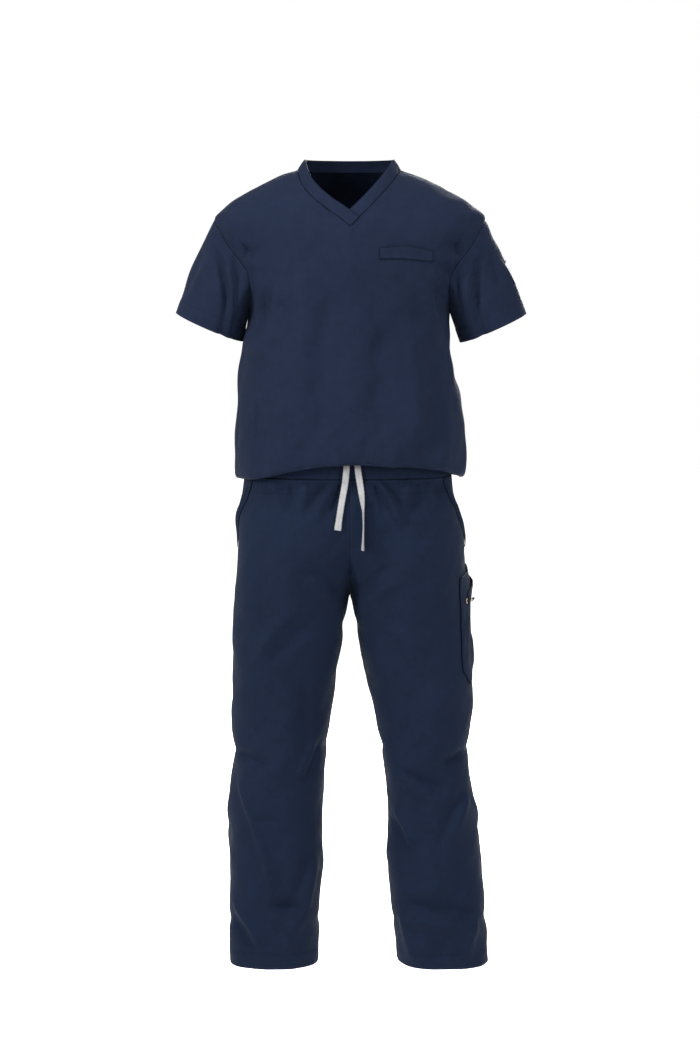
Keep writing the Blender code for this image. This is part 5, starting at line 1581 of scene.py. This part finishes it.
def make_eyelet(tree):
    """A rolled brass ring, with a dark disc in its hole that paints the shade inside it."""
    place, normal, behind, up = along_leg_frame(tree, EYELET["drop"], EYELET["ahead"], 0.0006)
    ring_radius = (EYELET["outer"] + EYELET["hole"]) / 2
    roll = (EYELET["outer"] - EYELET["hole"]) / 2
    bpy.ops.object.select_all(action="DESELECT")
    bpy.ops.mesh.primitive_torus_add(
        major_radius=ring_radius, minor_radius=roll, major_segments=48, minor_segments=14)
    eyelet = bpy.context.object
    eyelet.name = "cargo_eyelet_ring"
    dressed(seated(eyelet, place, behind, up, normal, 0.55), FINISHES["brass"], ("cargo_eyelet",))
    bpy.ops.object.select_all(action="DESELECT")
    # painted shade: a black disc with a sunken middle fills the hole, dark as the shade inside the pocket
    bpy.ops.mesh.primitive_cylinder_add(radius=EYELET["hole"] + 0.0003, depth=0.0006, vertices=32)
    hole_shade = bpy.context.object
    hole_shade.name = "cargo_eyelet_hole_shade"
    bpy.ops.object.mode_set(mode="EDIT")
    bpy.ops.mesh.select_all(action="DESELECT")
    bpy.ops.object.mode_set(mode="OBJECT")
    for face in hole_shade.data.polygons:
        face.select = face.normal.z > 0.9
    bpy.ops.object.mode_set(mode="EDIT")
    bpy.ops.mesh.inset(thickness=0.0004, depth=-0.0004)
    bpy.ops.object.mode_set(mode="OBJECT")
    dressed(seated(hole_shade, place + normal * 0.0001, behind, up, normal), FINISHES["elastic"])


def tube(name, points, radius, sides, finish, slot, replaced):
    """A round cord along points, with closed ends."""
    run = unit(np.gradient(points, axis=0))
    aside = unit(np.cross(run, (0.0, 0.0, 1.0)))
    up = np.cross(aside, run)
    rings = []
    for k in range(sides):
        angle = 2 * math.pi * k / sides
        rings.append(points + (aside * math.cos(angle) + up * math.sin(angle)) * radius)
    rings = np.stack(rings, 1)
    faces = [tuple(range(sides)), tuple(range(sides * (len(points) - 1), sides * len(points)))[::-1]]
    for i in range(len(points) - 1):
        for j in range(sides):
            a, b = sides * i + j, sides * i + (j + 1) % sides
            faces.append((b, a, a + sides, b + sides))
    return dressed(plain_object(name, rings.reshape(-1, 3), faces), finish, replaced)


def make_badge_loop(tree):
    """An elastic loop out of the eyelet, pinched by its moulded end."""
    there, back = [], []
    up = along_leg_frame(tree, EYELET["drop"], EYELET["ahead"], 0.0)[3]
    for out, height, spread in BADGE_ROUTE:
        base, normal = leg_at(LEFT, EYELET["drop"], EYELET["ahead"] - out)
        spot = settled(tree, base, normal, height + 0.0004)
        there.append(spot + up * BADGE_LOOP["apart"] * spread)
        back.insert(0, spot - up * BADGE_LOOP["apart"] * spread)
    ahead_of = EYELET["ahead"] - BADGE_LOOP["length"]
    base, normal = leg_at(LEFT, EYELET["drop"], ahead_of)
    tip = settled(tree, base, normal, BADGE_ROUTE[-1][1] + 0.0004)
    route = smooth_route(there + [tip] + back, 90)
    loop = ("cargo_badge_loop", route, BADGE_LOOP["strand"], 10)
    tube(*loop, FINISHES["elastic"], "black_elastic", ("cargo_cord",))
    place, normal, behind, up = along_leg_frame(tree, EYELET["drop"], ahead_of - 0.0032, BADGE_ROUTE[-1][1])
    bpy.ops.object.select_all(action="DESELECT")
    bpy.ops.mesh.primitive_cylinder_add(radius=BADGE_LOOP["end"], depth=0.0056, vertices=32)
    end = bpy.context.object
    end.name = "cargo_badge_loop_end"
    bevel = end.modifiers.new("rounded", "BEVEL")
    bevel.width, bevel.segments = 0.0012, 4
    bpy.ops.object.modifier_apply(modifier="rounded")
    seated(end, place, normal, up, behind)
    dressed(end, FINISHES["cord_end"], ("cargo_cord_end",))


# ---------------------------------------------------------------- putting it together

def sewn(pieces, name, panel, finish, slot, wall=CLOTH, seams=ALL_EDGES):
    """One sewn piece, kept under its node's name."""
    pieces[name] = cloth(name + "_cloth", panel, FINISHES[finish], (name,), wall, seams)


def stitch_edges(group, panel, edges, distances):
    for edge in edges:
        for distance in distances:
            stitched(group, panel.line(edge, distance))


def make_top():
    front, back = top_panel(FRONT), top_panel(BACK)
    pieces = {}
    for name, panel in (("top_front", front), ("top_back", back)):
        sewn(pieces, name, panel, "body_twill", "top_twill", seams=("top", "start", "end"))
    sleeves = {}
    for side in (RIGHT, LEFT):
        name = "sleeve_" + side_name(side)
        sleeves[side] = sleeve_panel(side, front, back)
        sewn(pieces, name, sleeves[side], "sleeve_twill", "top_twill")
        stitch_edges("top_stitches", sleeves[side], ("bottom",), (SLEEVE_HEM_LINE,))
    band = neckband_panel()
    sewn(pieces, "neckband", band, "band_twill", "top_twill", DOUBLED)
    tree = skin(front)
    welt = welt_panel(tree)
    sewn(pieces, "chest_welt", welt, "welt_twill", "top_twill")
    label = label_panel(sleeves[LEFT])
    sewn(pieces, "sleeve_label", label, "label", "label_white", LABEL_WALL)
    stitch_edges("top_stitches", front, ("top",), (SEAM_LINE,))
    stitch_edges("top_stitches", band, ("top",), (BAND_LINE,))
    stitch_edges("top_stitches", band, ("start",), (NECK_JOIN_LINE,))
    armhole_share = YOKE_ROWS / (len(front.points) - 1)
    for panel in (front, back):
        for edge in ("start", "end"):
            stitched("top_stitches", panel.line(edge, SEAM_LINE, 0.0, armhole_share))
    stitch_edges("top_stitches", welt, ALL_EDGES, (EDGE_LINE,))
    return pieces


def make_trousers():
    legs, pieces = {}, {}
    for side in (RIGHT, LEFT):
        for face in (FRONT, BACK):
            name = f"trouser_{face_name(face)}_{side_name(side)}"
            legs[side, face] = leg_panel(side, face)
            leg = legs[side, face]
            sewn(pieces, name, leg, "leg_twill", "trouser_twill")
            stitch_edges("trouser_stitches", leg, ("top",), (BAND_LINE,))
            stitch_edges("trouser_stitches", leg, ("bottom",), (LEG_HEM_LINE,))
            for distance in CENTRE_LINES:
                stitch_edges("trouser_stitches", leg, ("end", "start")[:1 + (face == FRONT)], (distance,))
    band = waistband_panel()
    sewn(pieces, "waistband", band, "trim_twill", "trouser_twill", WAISTBAND_WALL)
    stitch_edges("trouser_stitches", band, ("top",), CASING_LINES)
    for side in (RIGHT, LEFT):
        tree = skin(legs[side, FRONT], legs[side, BACK])
        name = "hand_pocket_" + side_name(side)
        mouth = hand_pocket_panel(tree, side)
        sewn(pieces, name, mouth, "trim_twill", "trouser_twill", POCKET_EDGE_WALL)
        stitch_edges("trouser_stitches", mouth, ("start", "end"), (EDGE_LINE,))
    left_leg = skin(legs[LEFT, FRONT], legs[LEFT, BACK])
    pocket = cargo_pocket_panel(left_leg)
    sewn(pieces, "cargo_pocket", pocket, "trim_twill", "trouser_twill")
    over_pocket = skin(pocket)
    lip = cargo_lip_panel(over_pocket)
    sewn(pieces, "cargo_lip", lip, "trim_twill", "trouser_twill")
    stitch_edges("trouser_stitches", pocket, ALL_EDGES, POCKET_LINES)
    stitch_edges("trouser_stitches", lip, ("top",), LIP_LINES)
    make_eyelet(over_pocket)
    make_badge_loop(over_pocket)
    make_fly(skin(legs[RIGHT, FRONT], legs[LEFT, FRONT]))
    return pieces


# The mock fly, which is only stitched: across and drop along each of its lines.
FLY_LINES = (
    ((0.026, 0.559), (0.0255, 0.620), (0.0250, 0.668), (0.0200, 0.692), (0.0100, 0.703), (0.0012, 0.707)),
    ((0.0012, 0.651), (0.008, 0.6512), (0.014, 0.651)),
)


def make_fly(tree):
    for stops in FLY_LINES:
        stitched("trouser_stitches", front_path(tree, stops, 0.0001, 80))


def light(name, place, target, size, power, colour):
    data = bpy.data.lights.new(name, "AREA")
    data.shape = "RECTANGLE"
    data.size, data.size_y = size
    data.energy = power
    data.color = colour
    lamp = bpy.data.objects.new(name, data)
    lamp.location = place
    lamp.rotation_euler = (Vector(target) - Vector(place)).to_track_quat("-Z", "Y").to_euler()
    bpy.context.scene.collection.objects.link(lamp)


LIGHTS = (
    # name, place, target, size, power, colour
    ("key_right", (-3.2, -2.2, 1.0), (0, 0, -0.7), (0.8, 1.8), 330.0, (1.0, 1.0, 1.0)),
    ("key_left", (3.0, -2.4, 0.5), (0, 0, -0.7), (0.8, 1.8), 150.0, (0.97, 0.98, 1.0)),
    ("over", (0.0, -1.2, 1.8), (0, 0, -0.5), (1.4, 0.7), 110.0, (1.0, 1.0, 1.0)),
    ("behind", (0.6, 3.0, 0.7), (0, 0, -0.6), (1.6, 1.6), 300.0, (1.0, 1.0, 1.0)),
)
PALE = (0.90, 0.90, 0.90, 1.0)
WHITE = (1.0, 1.0, 1.0, 1.0)
FLOOR_GLOW = 0.28
FLOOR_RADIUS = 14
CAMERA_PLACE = (0.0, -4.0, -0.252)
CAMERA_TARGET = (0.0, 0.0, -0.6512)
CAMERA_LENS = 74.1
CAMERA_SENSOR = 36.0


def make_stage():
    """A plain pale floor, soft lights all round and the camera."""
    bpy.ops.object.select_all(action="DESELECT")
    bpy.ops.mesh.primitive_circle_add(
        vertices=96, radius=FLOOR_RADIUS, fill_type="NGON", location=(0, 0, -FLOOR_DROP))
    floor = bpy.context.object
    floor.name = "floor"
    made, _, shader = shader_of("pale_floor")
    set_inputs(shader, Base_Color=PALE, Roughness=0.95, Specular_IOR_Level=0.05)
    set_inputs(shader, Emission_Color=WHITE, Emission_Strength=FLOOR_GLOW)
    floor.data.materials.append(made)
    world = bpy.data.worlds.new("pale_room")
    world.use_nodes = True
    set_inputs(world.node_tree.nodes["Background"], Color=WHITE, Strength=1.0)
    bpy.context.scene.world = world
    for row in LIGHTS:
        light(*row)
    data = bpy.data.cameras.new("camera")
    data.sensor_fit = "VERTICAL"
    data.sensor_height = CAMERA_SENSOR
    data.lens = CAMERA_LENS
    camera = bpy.data.objects.new("camera", data)
    camera.location = CAMERA_PLACE
    camera.rotation_euler = (Vector(CAMERA_TARGET) - Vector(CAMERA_PLACE)).to_track_quat("-Z", "Y").to_euler()
    bpy.context.scene.collection.objects.link(camera)
    bpy.context.scene.camera = camera
    bpy.context.scene.view_settings.view_transform = "Standard"


def main():
    make_stage()
    for name in TAPES:
        make_tape(name)
    pieces = make_top()
    pieces.update(make_trousers())
    make_stitches("top_stitches", FINISHES["thread"])
    make_stitches("trouser_stitches", FINISHES["thread"])


main()
